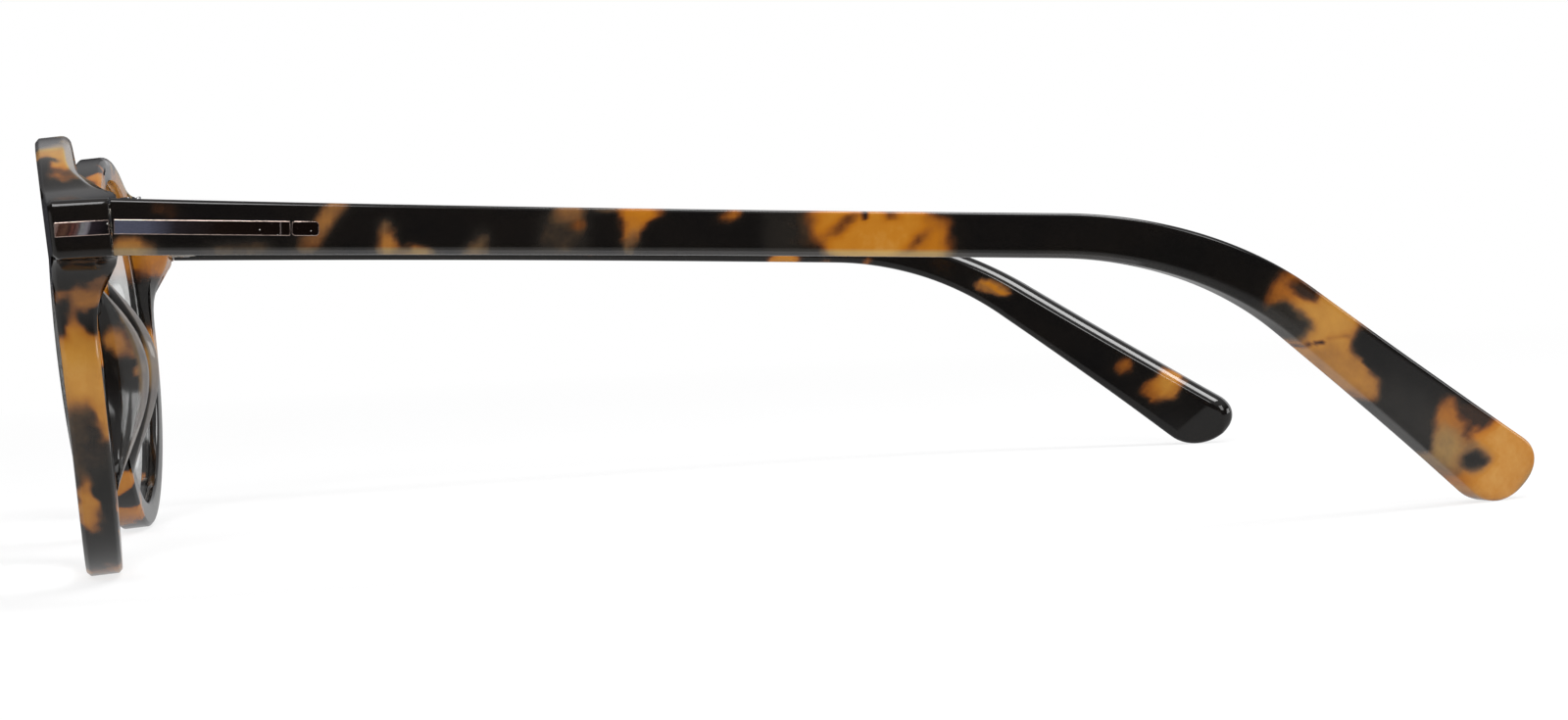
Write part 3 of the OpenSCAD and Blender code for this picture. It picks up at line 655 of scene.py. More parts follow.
def metal_copy(node, body, material, width):
    """A copy of a CAD node with its edges bevelled by width, in mm."""
    mesh = frame["nodes"][node].data.copy()
    obj = placed("fine_" + node, mesh)
    mesh.materials.clear()
    mesh.materials.append(material)
    cleaned(mesh, CAD_WELD, 2)
    bevel = obj.modifiers.new("edges", "BEVEL")
    bevel.width = width / 1000
    bevel.segments = 2
    bevel.limit_method = "ANGLE"
    bevel.angle_limit = rad(40)
    bevel.use_clamp_overlap = True
    bevel.harden_normals = True
    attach(obj, body)
    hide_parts(node)


# Tortoiseshell: each point's tone, from 0 for black to 1 for pale amber, and its milkiness, from 0 for clear
# to 1 for pale or olive; above 1 it turns to the painted grey reflection that bevels and edges catch

def ripple(p, longest, seed):
    """A smooth wavy field between about -1 and 1, from sines in fixed directions."""
    rng = np.random.RandomState(seed)
    field = np.zeros(len(p))
    for n in range(9):
        wave = unit(rng.normal(size=3)) * 2 * np.pi / (longest * (0.35 + 0.65 * rng.rand()))
        field += np.sin(np.asarray(p) @ wave + 6.3 * rng.rand())
    return field / 3.2


def warped(p, amount, seed):
    """Points pushed about a little, so that no patch has a ruled edge."""
    p = np.asarray(p, float)
    moves = [ripple(p, 5, seed + n) + 0.5 * ripple(p, 2.2, seed + 7 + n) for n in range(3)]
    return p + amount * np.stack(moves, -1)


def patch(p, middle, size, soft=0.2):
    """Share of a patch at each point: 1 in its middle, half at its edge; between round and square."""
    power = 2.4
    d = (np.abs((p - middle) / size) ** power).sum(-1) ** (1 / power)
    return soft_step((d - 1) / soft)


def painted(base, p, strokes):
    """Lays strokes over the base one after another."""
    tone, milk_and_sheen = np.array(base, float), np.zeros(len(p))
    for value, middle, size, *more in strokes:
        share = patch(p, np.array(middle), np.array(size))
        tone, milk_and_sheen = blend(tone, value, share), blend(milk_and_sheen, more[0] if more else 0, share)
    return tone, milk_and_sheen


def cloudy(p, seed):
    """Tone of a part the photograph doesn't show: black with drifting amber."""
    amber = 0.12
    f = ripple(p, 30, seed) + 0.45 * ripple(p, 9, seed + 3)
    return 0.07 + 0.8 * soft_step((amber - f) / 0.09)


# Patches on a temple: tone, place along it and up it from -1 to 1, their half sizes, slant, any milkiness
LEFT_PATCHES = [
    (0.37, 4.8, 0.62, 1.5, 0.28, 0), (0.36, 3.6, -0.9, 0.8, 0.5, 0, 0.2), (0.66, 1.2, -0.95, 2.35, 0.62, 0, 0.4),
    (0.34, 11.5, -0.85, 3.2, 0.4, 0, 0.4), (0.4, 18.0, -0.62, 0.9, 0.35, 0.6), (0.6, 19.5, 0.45, 1.3, 1.05, 1.7, 0.4),
    (0.42, 24.3, -0.45, 0.7, 0.7, 0.2, 0.1), (0.5, 24.7, 0.2, 0.5, 0.3, 0.2, 0.6),
    (0.7, 24.9, -0.7, 0.9, 0.7, 0.2, 0.35), (0.66, 27.4, -0.95, 1.9, 0.5, -1.0, 0.15),
    (0.12, 26.35, -0.3, 0.35, 0.4, -0.4), (0.5, 32.8, -1.0, 1.1, 0.45, 0.5, 0.6),
    (0.46, 33.4, -0.5, 0.42, 0.45, 0.4, 0.6), (0.32, 40.9, -0.2, 2.3, 1.3, 0.4, 0.5),
    (0.58, 41.4, 0.8, 1.5, 0.42, 0, 0.4), (0.54, 42.3, 0.22, 0.55, 0.22, 0), (0.4, 44.8, 1.0, 1.6, 0.2, 0, 0.4),
    (0.82, 47.8, 0.85, 2.0, 0.5, 0.3), (0.76, 47.3, 0.2, 1.2, 0.6, 0.5), (0.5, 47.1, -0.6, 0.65, 0.7, 0.1, 0.5),
    (0.62, 56.3, 0.85, 1.0, 0.4, 1.6), (0.2, 61.3, 0, 2.2, 1.2, 0, 0.4), (0.9, 69.9, 0, 6.1, 2.2, -0.6),
    (0.5, 66.6, 0.42, 0.8, 0.55, 2.6), (0.3, 68.7, 0.85, 0.14, 0.25, 0), (0.5, 71.0, 0.85, 0.5, 0.25, 0),
    (0.7, 74.6, -0.1, 1.5, 0.9, 1.0), (0.54, 73.5, -0.35, 0.8, 0.45, 2.0), (0.62, 109.9, 0.15, 2.4, 1.4, 0.4),
    (0.84, 115.3, 0.1, 4.4, 1.3, 0.6, 0.4), (0.34, 111.3, 0.72, 1.6, 0.36, 0.8),
    (0.22, 110.6, -0.85, 2.7, 0.65, 1.6, 0.6), (0.7, 119.8, -0.75, 4.6, 0.7, 1.2, 0.4),
    (0.3, 115.4, -0.5, 0.16, 0.6, 2.8), (0.06, 120.9, 0.4, 2.5, 0.45, 0.6), (0.06, 126.2, 0.5, 4.0, 0.9, -0.6),
    (0.14, 128.4, -0.6, 3.6, 0.85, -0.9, 0.5), (0.64, 132.9, 0.1, 2.3, 0.7, -1.2, 0.1),
    (0.62, 134.6, -0.65, 2.4, 0.6, -1.0, 0.9), (0.95, 141.6, 0, 5.6, 2.2, -1.2), (0.36, 135.4, 0.8, 1.8, 0.36, 0.8),
    (0.6, 137.6, -0.36, 2.0, 0.5, 0.6, 0.7), (0.16, 137.9, -0.38, 1.05, 0.3, 1.2, 0.2),
    (0.66, 144.9, 0.2, 0.6, 0.7, 0, 0.9)]
RIGHT_PATCHES = [
    (0.84, 9.5, 0.5, 3.2, 1.0, 1.8), (0.3, 9.8, 0.5, 0.6, 0.6, 3), (0.66, 21, 0.7, 2.4, 0.6, -1, 0.2),
    (0.88, 33, 0.4, 4.6, 1.0, 1.2), (0.4, 34.6, 0.2, 0.5, 0.7, -3), (0.6, 44, 0.8, 1.6, 0.5, 1),
    (0.8, 54.5, 0.3, 2.6, 0.9, 1.6, 0.1), (0.62, 65, 0.5, 1.5, 0.8, -1, 0.1), (0.1, 36, -1.1, 38, 0.5, 0),
    (0.85, 79.4, -0.95, 2.2, 0.5, 0, 0.1), (0.5, 85.2, -1, 1.0, 0.3, 0, 0.2), (0.64, 91.2, -0.9, 0.8, 0.5, 0.4),
    (0.66, 108.9, 0.05, 2.3, 0.5, 1.8, 0.3), (0.84, 109.3, 0.12, 1.5, 0.14, 8), (0.55, 129.5, 0.2, 1.15, 0.42, 0.4),
    (0.62, 134.4, -0.05, 1.6, 0.5, -1.0), (0.82, 135.4, 0.55, 1.7, 0.6, -0.8, 0.3)]

# Patches in the front and on the left and right pad, in the front's drawn frame: tone, middle and half sizes in mm,
# any milkiness
FRONT_PATCHES = [
    (0.09, (66, 4, 0.6), (10, 20, 5.2)), (0.07, (58, 5, 3.4), (7.6, 9, 1.9), 0.3),
    (0.64, (59.9, 5.2, -6.5), (6, 4.5, 1.5), 0.3), (0.1, (63, 5, -3.6), (9, 9, 1.4), 0.1),
    (0.5, (60, 7.4, -5.0), (5, 1.5, 0.8), 0.25), (0.92, (59, 5, -12.8), (9, 9, 4.3), 0.35),
    (0.06, (59.8, 2.9, -7.7), (4, 1.2, 1.5)), (0.08, (59.5, 6.2, -8.2), (4, 1.4, 0.95)),
    (0.34, (57.8, 2.8, -19.0), (6, 1.6, 3.2), 0.5), (0.8, (57.6, 6.0, -17.8), (6, 1.1, 2.0), 0.35),
    (0.33, (56.5, 5, -21.9), (6, 6, 1.9), 0.5), (0.82, (52.8, 3.1, -26.3), (5, 1.1, 2.9), 0.3),
    (0.08, (52.5, 5.9, -26.6), (6, 1.6, 4), 0.3), (0.1, (47.5, 3.5, -31.1), (6, 6, 1.6), 0.2),
    (0.92, (38.5, 3, -34.9), (9, 6, 2.1), 0.3), (0.86, (45.5, 3.2, 8.2), (3.4, 4, 1.6), 0.5),
    (0.3, (46.5, 2.9, 7.4), (0.9, 1.2, 0.5), 0.8), (0.46, (49.0, 4, 6.1), (1.5, 3, 0.6), 0.2),
    (0.07, (49, 1.5, 6.2), (3, 1.1, 2.4)), (0.12, (51.4, 5, 4.7), (1.8, 3, 0.8), 0.5),
    (0.76, (-40, 5, 6.8), (8, 5, 2.2), 0.25), (0.1, (-28.5, 3, 8.6), (2.6, 5, 1.8)),
    (0.76, (-54, 6, -2.3), (3.4, 5, 1.4)), (0.62, (-54, 5.2, -4.2), (2.4, 1.4, 0.6)),
    (0.08, (-56, 5, -8.0), (6, 9, 3.4)), (0.86, (-57, 6, -14.2), (6, 9, 3.1), 0.3), (0.08, (-52, 5, -22.4), (8, 9, 5)),
    (0.8, (-23, 2.5, -32), (3.4, 4, 1.2)), (0.84, (-9, 2, 0), (5, 4, 3)), (0.07, (3, 2, -2), (5, 4, 5)),
    (0.86, (20, 2, 6), (5, 4, 3)), (0.1, (14, 2, -22), (4, 4, 5)), (0.84, (12.6, 3, -11.5), (3, 6, 1.9))]
PAD_PATCHES = {
    1: [(0.7, (11.6, 5.3, -11.3), (3, 1.6, 1.6), 0.3), (0.58, (11.9, 7.1, -13.8), (3, 0.5, 3.2), 0.25),
        (0.66, (11, 6.2, -8.5), (2, 0.5, 0.7))],
    -1: [(0.78, (11, 7.9, -14.3), (2, 1.3, 2.5)), (0.6, (12, 4.5, -20), (2, 1, 2))]}


def temple_tones(marks, patches, seed):
    half_height = 2.3
    up = np.maximum(marks[:, 1:2], -1)
    flat = np.concatenate([marks[:, :1], up * half_height, 0.25 * marks[:, 2:]], 1)
    p = warped(flat, 0.22, seed) / [1, half_height, 1]
    base = 0.09 + 0.05 * ripple(flat, 14, seed + 20)
    tone, milk_and_sheen = base, np.zeros(len(p))
    for value, s, v, rs, rv, slant, *more in patches:
        q = np.stack([p[:, 0] - slant * (p[:, 1] - v), p[:, 1]], -1)
        share = patch(q, [s, v], [rs, rv], min(0.3, 0.07 + 0.16 / rs))
        tone, milk_and_sheen = blend(tone, value, share), blend(milk_and_sheen, more[0] if more else 0, share)
    # Painted reflection of the pale floor: a grey band on the lower bevel, on the outside, that fades out in the bend
    wear_and_sheen = grown(marks[:, 1], -0.68, -0.12) * (marks[:, 2] > 0) * grown(marks[:, 0], 104, -10)
    return {"tone": tone, "milk_and_sheen": blend(milk_and_sheen, 1.12, wear_and_sheen), "place": marks}


def crest_painted_sheen(points):
    """Share of the painted reflection, a grey band along the back edge of the rims' crests and over the top of the
    left one.
    """
    x, y, z = points.T
    from_back = front_thick(x, z) - (y - face(x))
    on_edge = grown(outline(x, z), -1.1, 0.2) * (np.abs(x) > 30)
    rear = grown(from_back, 0.98, -0.25) * grown(z, 3.2, 1.2) * grown(from_back, -0.5, 0.1)
    over = grown(z, 8.4, 0.5) * (x > 0)
    return on_edge * np.maximum(rear, 0.75 * over)


def block_tones(points, strokes, base, seed):
    tone, milk_and_sheen = painted(base, warped(points, 0.35, seed), strokes)
    return {"tone": tone, "milk_and_sheen": milk_and_sheen, "place": points}


# Materials

def material(name):
    """A new material, its node tree, its shader and its object's coordinates in metres."""
    m = bpy.data.materials.new(name)
    m.use_nodes = True
    tree = m.node_tree
    return m, tree, tree.nodes["Principled BSDF"], node(tree, "TexCoord").outputs["Object"]


def node(tree, kind, settings=None, **inputs):
    """A node with its settings and inputs; an input is a number or another node's output."""
    made = tree.nodes.new("ShaderNode" + kind)
    for key, value in (settings or {}).items():
        setattr(made, key, value)
    for key, value in inputs.items():
        key = int(key[1:]) if key[0] == "i" and key[1:].isdigit() else key.replace("_", " ")
        if hasattr(value, "is_output"):
            tree.links.new(value, made.inputs[key])
        else:
            made.inputs[key].default_value = value
    return made


def worked(kind, tree, a, b=0.0, clamp=False):
    return node(tree, "Math", {"operation": kind, "use_clamp": clamp}, i0=a, i1=b).outputs[0]


plus, minus, times, ratio = (partial(worked, kind) for kind in ("ADD", "SUBTRACT", "MULTIPLY", "DIVIDE"))
highest, below, size_of = (partial(worked, kind) for kind in ("MAXIMUM", "LESS_THAN", "ABSOLUTE"))


def read(tree, name, output="Fac"):
    return node(tree, "Attribute", {"attribute_name": name}).outputs[output]


def noise(tree, place, scale, detail=3.0, roughness=0.55):
    made = node(tree, "TexNoise", None, Vector=place, Scale=scale, Detail=detail, Roughness=roughness)
    return made.outputs["Fac"]


def ramp(tree, value, stops):
    made = node(tree, "ValToRGB", None, Fac=value)
    points = made.color_ramp.elements
    while len(points) < len(stops):
        points.new(0.5)
    for point, (at, colour) in zip(points, stops):
        point.position = at
        point.color = (*colour, 1)
    return made.outputs["Color"]


def mixed(tree, share, a, b):
    """A mix of two colours, each of them three numbers or another node's output."""
    a, b = (c if hasattr(c, "is_output") else (*c, 1) for c in (a, b))
    return node(tree, "Mix", {"data_type": "RGBA"}, Factor=share, i6=a, i7=b).outputs[2]


def ranged(tree, value, start, end, low=0.0, high=1.0, kind="LINEAR"):
    """Brings a value from start to end into low to high."""
    made = node(tree, "MapRange", {"interpolation_type": kind}, Value=value, From_Min=start, From_Max=end,
                To_Min=low, To_Max=high)
    return made.outputs["Result"]


def stretched(tree, place, scale):
    return node(tree, "Mapping", None, Vector=place, Scale=scale).outputs["Vector"]


def bumped(tree, shader, strength, height):
    """Bends the shader's normals by a height in metres."""
    bump = node(tree, "Bump", None, Strength=strength, Distance=1.0, Height=height)
    tree.links.new(bump.outputs["Normal"], shader.inputs["Normal"])


def feed(tree, shader, colour, rough):
    tree.links.new(colour, shader.inputs["Base Color"])
    tree.links.new(rough, shader.inputs["Roughness"])


def joined(tree, share, first, second):
    """Puts a mix of two shaders on the surface."""
    join = node(tree, "MixShader", None, Fac=share)
    tree.links.new(first.outputs[0], join.inputs[1])
    tree.links.new(second.outputs[0], join.inputs[2])
    tree.links.new(join.outputs[0], tree.nodes["Material Output"].inputs["Surface"])


def specks(tree, place, scale, size, share):
    """Dust: a few small dots, one at most in each cell."""
    cells = node(tree, "TexVoronoi", None, Vector=place, Scale=scale)
    near = below(tree, cells.outputs["Distance"], size)
    pick = node(tree, "SeparateColor", None, Color=cells.outputs["Color"]).outputs[0]
    return times(tree, near, below(tree, pick, share))


def tortoiseshell(name, dust):
    m, tree, shader, place = material(name)
    cloud = minus(tree, noise(tree, place, 330), 0.5)
    grain = minus(tree, noise(tree, place, 1500, 2), 0.5)
    tone = plus(tree, read(tree, "tone"), times(tree, cloud, 0.24))
    tone = plus(tree, tone, times(tree, grain, 0.07))
    colour = ramp(tree, tone, [
        (0.0, (0.0040, 0.0036, 0.0034)), (0.26, (0.0075, 0.0058, 0.0045)), (0.4, (0.030, 0.013, 0.006)),
        (0.52, (0.115, 0.036, 0.008)), (0.62, (0.25, 0.080, 0.010)), (0.74, (0.37, 0.125, 0.008)),
        (0.88, (0.42, 0.160, 0.014)), (1.0, (0.50, 0.25, 0.055))])
    pale = ramp(tree, tone, [
        (0.0, (0.012, 0.012, 0.012)), (0.3, (0.030, 0.026, 0.021)), (0.55, (0.15, 0.10, 0.050)),
        (0.9, (0.46, 0.285, 0.075))])
    milk_and_sheen = read(tree, "milk_and_sheen")
    colour = mixed(tree, milk_and_sheen, colour, pale)
    # Milkiness above 1 mixes in a painted grey reflection, the sheen that bevels and edges catch
    colour = mixed(tree, minus(tree, milk_and_sheen, 1, True), colour, (0.27, 0.265, 0.27))
    dots = specks(tree, place, 330, 0.03, 0.1 * dust)
    colour = mixed(tree, dots, colour, (0.42, 0.41, 0.4))
    wear_and_sheen = noise(tree, place, 120, 4)
    feed(tree, shader, colour, plus(tree, ranged(tree, wear_and_sheen, 0, 1, 0.05, 0.13), times(tree, dots, 0.5)))
    scratch = noise(tree, stretched(tree, place, (1, 0.12, 1)), 5200, 2, 0.6)
    wave = noise(tree, place, 90, 1)
    bumped(tree, shader, 1.0, plus(tree, times(tree, scratch, 0.9e-6), times(tree, wave, 20e-6)))
    return m


# Where the bars' place attribute starts, so that one material tells them apart, and where a line crosses the long
# bar; lengths of the long bar's and the endpiece bar's ramps of painted reflection
ENDPIECE_MARK, SHORT_MARK, LINE_MARK = -20.0, 16.0, 15.0
LONG_REFLECTION_RAMP, ENDPIECE_REFLECTION_RAMP = 16, 5


def bar_finish(name):
    """Mirror-bright dark metal with paler rose bevels, and painted reflections and glints on its faces; its place
    attribute is along, up and out, in mm.
    """
    m, tree, shader, spread = material(name)
    shader.inputs["Metallic"].default_value = 0.9
    spot = read(tree, "place", "Vector")
    place = node(tree, "SeparateXYZ", None, Vector=spot).outputs
    fine = noise(tree, stretched(tree, spread, (1, 0.05, 1)), 4200, 3)
    along = plus(tree, place[0], times(tree, fine, 0.4))
    # Painted reflection: a blue-grey sheen at the long bar's front end, fading along it to the dark metal
    long_face_reflection = ramp(tree, ratio(tree, along, LONG_REFLECTION_RAMP), [
        (0.0, (0.50, 0.53, 0.74)), (0.2, (0.44, 0.46, 0.64)), (0.36, (0.11, 0.09, 0.10)), (0.6, (0.055, 0.03, 0.022)),
        (1.0, (0.03, 0.016, 0.012))])
    lean = plus(tree, times(tree, place[1], -0.35), times(tree, fine, 0.22))
    along = plus(tree, plus(tree, place[0], lean), -ENDPIECE_MARK)
    # Painted reflections on the endpiece bar's face: bands of pale rose and white glints, then the dark metal
    endpiece_face_glints = ramp(tree, ratio(tree, along, ENDPIECE_REFLECTION_RAMP), [
        (0.0, (1.0, 0.74, 0.64)), (0.07, (0.9, 0.55, 0.45)), (0.10, (0.30, 0.13, 0.09)), (0.22, (0.52, 0.26, 0.17)),
        (0.30, (0.22, 0.10, 0.08)), (0.34, (0.62, 0.24, 0.19)), (0.38, (0.34, 0.14, 0.11)), (0.43, (0.66, 0.36, 0.32)),
        (0.47, (0.5, 0.42, 0.44)), (0.50, (1.0, 1.0, 1.0)), (0.61, (1.0, 0.92, 1.0)), (0.68, (0.12, 0.09, 0.11)),
        (1.0, (0.03, 0.026, 0.026))])
    painted_face_colour = mixed(tree, below(tree, place[0], ENDPIECE_MARK / 2), long_face_reflection, endpiece_face_glints)
    uneven = times(tree, minus(tree, noise(tree, spread, 3000, 2), 0.5), 0.03)
    bevel = below(tree, plus(tree, place[2], uneven), -0.008)
    colour = mixed(tree, bevel, painted_face_colour, (0.90, 0.70, 0.62))
    blotch = noise(tree, spread, 1900, 4)
    colour = mixed(tree, ranged(tree, blotch, 0, 1, 0, 0.2), colour, (0.04, 0.035, 0.035))
    jag = times(tree, minus(tree, noise(tree, spread, 2600, 1), 0.5), 0.18)
    cut = below(tree, size_of(tree, plus(tree, minus(tree, place[0], LINE_MARK), jag)), 0.045)
    colour = mixed(tree, cut, colour, (0.75, 0.62, 0.58))
    flat = node(tree, "VectorMath", {"operation": "MULTIPLY"}, i0=spot, i1=(1, 1, 0)).outputs[0]
    dots = specks(tree, flat, 1.3, 0.085, 0.4)
    colour = mixed(tree, dots, colour, (0.95, 0.93, 0.9))
    feed(tree, shader, colour, plus(tree, ranged(tree, fine, 0, 1, 0.08, 0.22), times(tree, dots, 0.5)))
    bumped(tree, shader, 0.8, plus(tree, times(tree, fine, 4e-6), times(tree, cut, -30e-6)))
    return m


def metal_finish(name, colour, dark, low, high, scale):
    """Turned or stamped metal: duller in blotches, with fine tool marks."""
    m, tree, shader, place = material(name)
    shader.inputs["Metallic"].default_value = 1.0
    blotch = noise(tree, place, scale, 4)
    share = ramp(tree, blotch, [(0.42, (0, 0, 0)), (0.7, (1, 1, 1))])
    lines = noise(tree, stretched(tree, place, (1, 0.08, 1)), 5000, 2)
    rough = ranged(tree, times(tree, lines, blotch), 0, 1, low, high)
    feed(tree, shader, mixed(tree, share, colour, dark), rough)
    bumped(tree, shader, 0.6, times(tree, lines, 6e-6))
    return m


def lens_finish(name):
    """Clear lens that lets light and shadow rays through, with the faint unevenness of a wiped surface."""
    m, tree, shader, place = material(name)
    shader.inputs["Transmission Weight"].default_value = 1.0
    shader.inputs["IOR"].default_value = 1.5
    smear = noise(tree, stretched(tree, place, (1, 1, 0.3)), 160, 4)
    tint = ramp(tree, smear, [(0.3, (0.985, 0.99, 0.985)), (0.8, (0.97, 0.98, 0.975))])
    feed(tree, shader, tint, ranged(tree, smear, 0, 1, 0, 0.03))
    bumped(tree, shader, 0.5, times(tree, smear, 4e-6))
    through = node(tree, "BsdfTransparent", None, Color=(0.96, 0.97, 0.965, 1))
    joined(tree, node(tree, "LightPath").outputs["Is Shadow Ray"], shader, through)
    return m


acetate = tortoiseshell("acetate_tortoiseshell", 1.0)
pad_acetate = tortoiseshell("acetate_pads", 0.6)
lens_clear = lens_finish("lens_clear")
bar_metal = bar_finish("bar_dark_mirror")
hinge_metal = metal_finish("hinge_nickel", (0.62, 0.58, 0.52), (0.30, 0.27, 0.24), 0.16, 0.5, 1400)
screw_steel = metal_finish("screw_steel", (0.60, 0.60, 0.61), (0.25, 0.24, 0.23), 0.14, 0.45, 1900)
wire_steel = metal_finish("wire_steel", (0.52, 0.52, 0.53), (0.33, 0.32, 0.30), 0.22, 0.5, 900)

# Pieces

half_verts, half_faces = front_half()
front_verts, front_faces = both_halves(straightened(half_verts), half_faces)
front_tones = block_tones(front_verts, FRONT_PATCHES, cloudy(front_verts, 4), 31)
# The rims' crests get a painted grey reflection along their back edges, and the left one over its top
front_tones["milk_and_sheen"] = blend(front_tones["milk_and_sheen"], 1.8, crest_painted_sheen(front_verts))
piece("front_acetate", front_space(front_verts), front_faces, 1, "front", "front_frame", acetate,
      marks=front_tones)

temple_verts, temple_faces, temple_marks = temple_mesh()
pad_verts, pad_faces, pad_rise = pad_mesh()
lens_verts, lens_faces = lens_mesh()
# Each bar's length, the radius of its ends and where its place attribute starts
bars = {"endpiece_bar": (END_DEPTH - END_EDGE - JOINT_GAP - 0.05, 0.1, ENDPIECE_MARK),
        "temple_bar": (BAR_L, 0.1, 0.0), "short_bar": (SHORT_BAR_L, 0.35, SHORT_MARK)}
for side, hand in ((1, "left"), (-1, "right")):
    body = hand + "_temple_body"
    tones = temple_tones(temple_marks, LEFT_PATCHES if side > 0 else RIGHT_PATCHES, 50 - side)
    piece(hand + "_temple_acetate", temple_verts, temple_faces, side, body, hand + "_temple", acetate,
          marks=tones)
    tones = block_tones(pad_verts, PAD_PATCHES[side], np.full(len(pad_verts), 0.12), 60 + side)
    # Painted reflection: a grey band along the pad's raised rounded edge, where its polished edge catches the light
    wear_and_sheen = grown(pad_rise, 0.72, 0.14)
    tones["tone"] = blend(tones["tone"], 0.46, 0.7 * wear_and_sheen)
    tones["milk_and_sheen"] = np.maximum(tones["milk_and_sheen"], 1.5 * wear_and_sheen)
    piece(hand + "_pad_acetate", front_space(pad_verts), pad_faces, side, "front", hand + "_nose_pad",
          pad_acetate, 60, marks=tones)
    piece(hand + "_lens_clear", front_space(lens_verts), lens_faces, side, "front", hand + "_lens", lens_clear)
    for kind, (length, ends, first) in bars.items():
        verts, faces = bar_mesh(length, ends)
        marks = {"place": np.stack([verts[:, 1] + first, verts[:, 2], verts[:, 0]], -1)}
        if kind == "endpiece_bar":
            middle = np.array([0, length / 2, 0])
            verts = turned(verts - middle, -END_TILT) + middle
            verts = front_space(verts + [HALF_W + BAR_PROUD, face(HALF_W) + END_EDGE, END_BAR_UP])
            rides = "front"
        else:
            start = JOINT_GAP + BAR_START + (BAR_L + BAR_GAP if kind == "short_bar" else 0)
            verts = temple_space(verts + [T_MID_T / 2 + BAR_PROUD, start, 0])
            rides = body
        piece(hand + "_" + kind + "_polished", verts, faces, side, rides, hand + "_" + kind, bar_metal,
              marks=marks)
    metal_copy(hand + "_front_hinge", "front", hinge_metal, 0.08)
    metal_copy(hand + "_temple_hinge", body, hinge_metal, 0.08)
    metal_copy(hand + "_hinge_screw", "front", screw_steel, 0.06)
    wire_slots = frame["nodes"][hand + "_core_wire"].data.materials
    wire_slots.clear()
    wire_slots.append(wire_steel)

# Studio

def area(name, place, aim, size, power):
    """A lamp of size metres and power watts, at a place and aimed at another."""
    lamp = bpy.data.lights.new(name, "AREA")
    lamp.shape = "RECTANGLE"
    lamp.size, lamp.size_y = size
    lamp.energy = power
    obj = placed(name, lamp)
    obj.location = place
    obj.rotation_euler = (Vector(aim) - Vector(place)).to_track_quat("-Z", "Y").to_euler()


def seen_rays(tree):
    """The light path's outputs, and 1 for what the camera sees straight or through a lens."""
    rays = node(tree, "LightPath").outputs
    return rays, highest(tree, rays["Is Camera Ray"], rays["Is Transmission Ray"])


def floor_finish():
    """Pale paper that keeps the shadow and reads as white from the camera; what shiny parts mirror is dimmer on
    the camera's side, and on the far side ahead of the glasses."""
    m, tree, shader, place = material("floor_pale")
    paper = ramp(tree, noise(tree, place, 60, 3), [(0.2, (0.89, 0.89, 0.89)), (0.8, (0.92, 0.92, 0.92))])
    tree.links.new(paper, shader.inputs["Base Color"])
    shader.inputs["Roughness"].default_value = 0.8
    shader.inputs["Specular IOR Level"].default_value = 0.0
    spot = node(tree, "SeparateXYZ", None, Vector=place).outputs
    reach = node(tree, "VectorMath", {"operation": "LENGTH"}, i0=place).outputs["Value"]
    far = ranged(tree, reach, 0.12, 0.5, 0.78, 1.0)
    rays, seen = seen_rays(tree)
    shiny = minus(tree, rays["Is Glossy Ray"], seen, True)
    behind = ranged(tree, spot[0], -0.1, -0.35)
    front = ranged(tree, spot[1], 0.0, -0.1, 0.0, 0.9)
    flag = times(tree, ranged(tree, spot[0], 0.1, 0.33, 0.5, 0.03), minus(tree, 1, times(tree, behind, front)))
    level = minus(tree, 1, times(tree, shiny, minus(tree, 1, flag)))
    glow = node(tree, "Emission", None, Color=(1, 1, 1, 1), Strength=level)
    joined(tree, highest(tree, times(tree, seen, far), shiny), shader, glow)
    return m


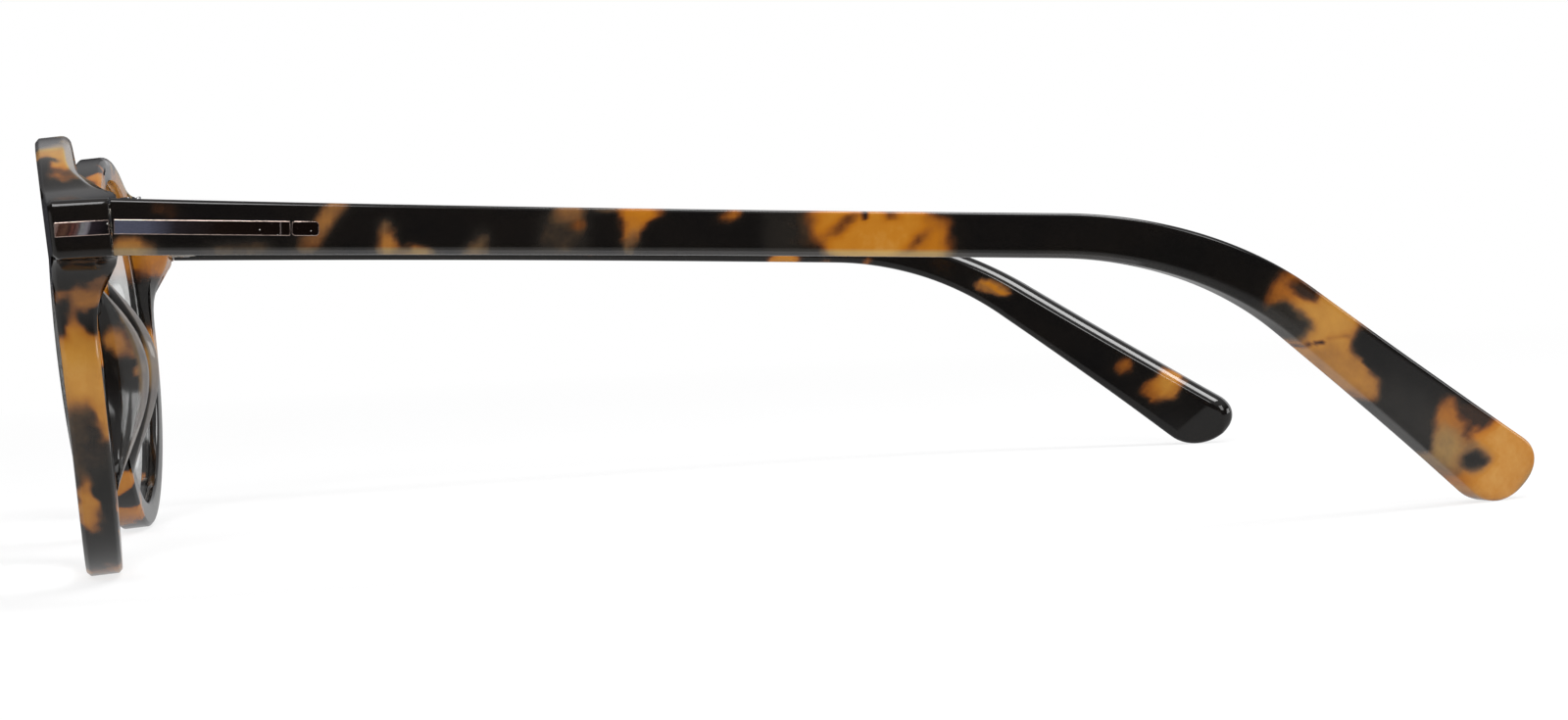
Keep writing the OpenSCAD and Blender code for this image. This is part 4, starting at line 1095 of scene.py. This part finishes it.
def studio_world():
    """White to the camera; what shiny parts mirror is darker low on the camera's side and low ahead of the
    glasses, as in a studio with two black flags."""
    world = bpy.data.worlds.new("studio")
    bpy.context.scene.world = world
    world.use_nodes = True
    tree = world.node_tree
    way = node(tree, "SeparateXYZ", None, Vector=node(tree, "TexCoord").outputs["Generated"]).outputs

    def part(axis, start, end):
        return ranged(tree, way[axis], start, end, kind="SMOOTHSTEP")

    near_side = times(tree, part(0, -0.55, 0.1), part(2, 0.75, 0.3))
    ahead = times(tree, part(2, 0.68, 0.14), part(1, 0.16, 0.06))
    lit = ramp(tree, highest(tree, near_side, ahead), [(0.0, (0.5, 0.5, 0.51)), (1.0, (0.04, 0.04, 0.045))])
    back = tree.nodes["Background"]
    tree.links.new(mixed(tree, seen_rays(tree)[1], lit, (1, 1, 1)), back.inputs["Color"])
    back.inputs["Strength"].default_value = 1.0


FLOOR = 6
floor = link("floor", [(FLOOR * i, FLOOR * j, 0) for i, j in ((-1, -1), (1, -1), (1, 1), (-1, 1))], [(0, 1, 2, 3)])
floor.data.materials.append(floor_finish())
studio_world()
area("key", (0.75, -0.3, 0.62), (0, 0, 0.02), (0.45, 0.45), 4.6)
area("top", (0.14, 0.28, 0.85), (0, 0.1, 0.02), (0.28, 0.5), 5)
area("fill", (0.6, 0.65, 0.45), (0, 0, 0.02), (0.3, 0.3), 1.2)
area("rear", (0.15, 1.3, 0.2), (0, -0.07, 0.02), (0.5, 0.35), 2.2)

# Camera, fitted to the photograph: pixels of focal length, place in mm as worn, and turns in degrees
CAMERA = (3723.0, 406.7, 18.6, -4.0, 7.28, 1.31, 0.48)
PHOTO_W, SENSOR = 1600, 36


def camera_from(values):
    """Sets up the camera; roll is turned about its line of sight."""
    f, cx, cy, cz = values[:4]
    yaw, pitch, roll = (rad(v) for v in values[4:])
    ahead = np.array([-math.cos(yaw) * math.cos(pitch), math.sin(yaw) * math.cos(pitch), -math.sin(pitch)])
    right = np.array([math.sin(yaw), math.cos(yaw), 0])
    up = np.cross(right, ahead)
    rolled_right = math.cos(roll) * right + math.sin(roll) * up
    rolled_up = -math.sin(roll) * right + math.cos(roll) * up
    axes = turned(np.stack([rolled_right, rolled_up, -ahead]), -STAND_LEAN)
    place = stood([cx, cy, cz])
    cam = placed("camera", bpy.data.cameras.new("camera"))
    cam.matrix_world = Matrix([[*axes[:, i], place[i]] for i in range(3)] + [[0, 0, 0, 1]])
    cam.data.sensor_fit = "HORIZONTAL"
    cam.data.sensor_width = SENSOR
    cam.data.lens = f / PHOTO_W * SENSOR
    cam.data.clip_start = 0.01
    cam.data.clip_end = 100
    bpy.context.scene.camera = cam


camera_from(CAMERA)
bpy.context.scene.view_settings.view_transform = "Standard"
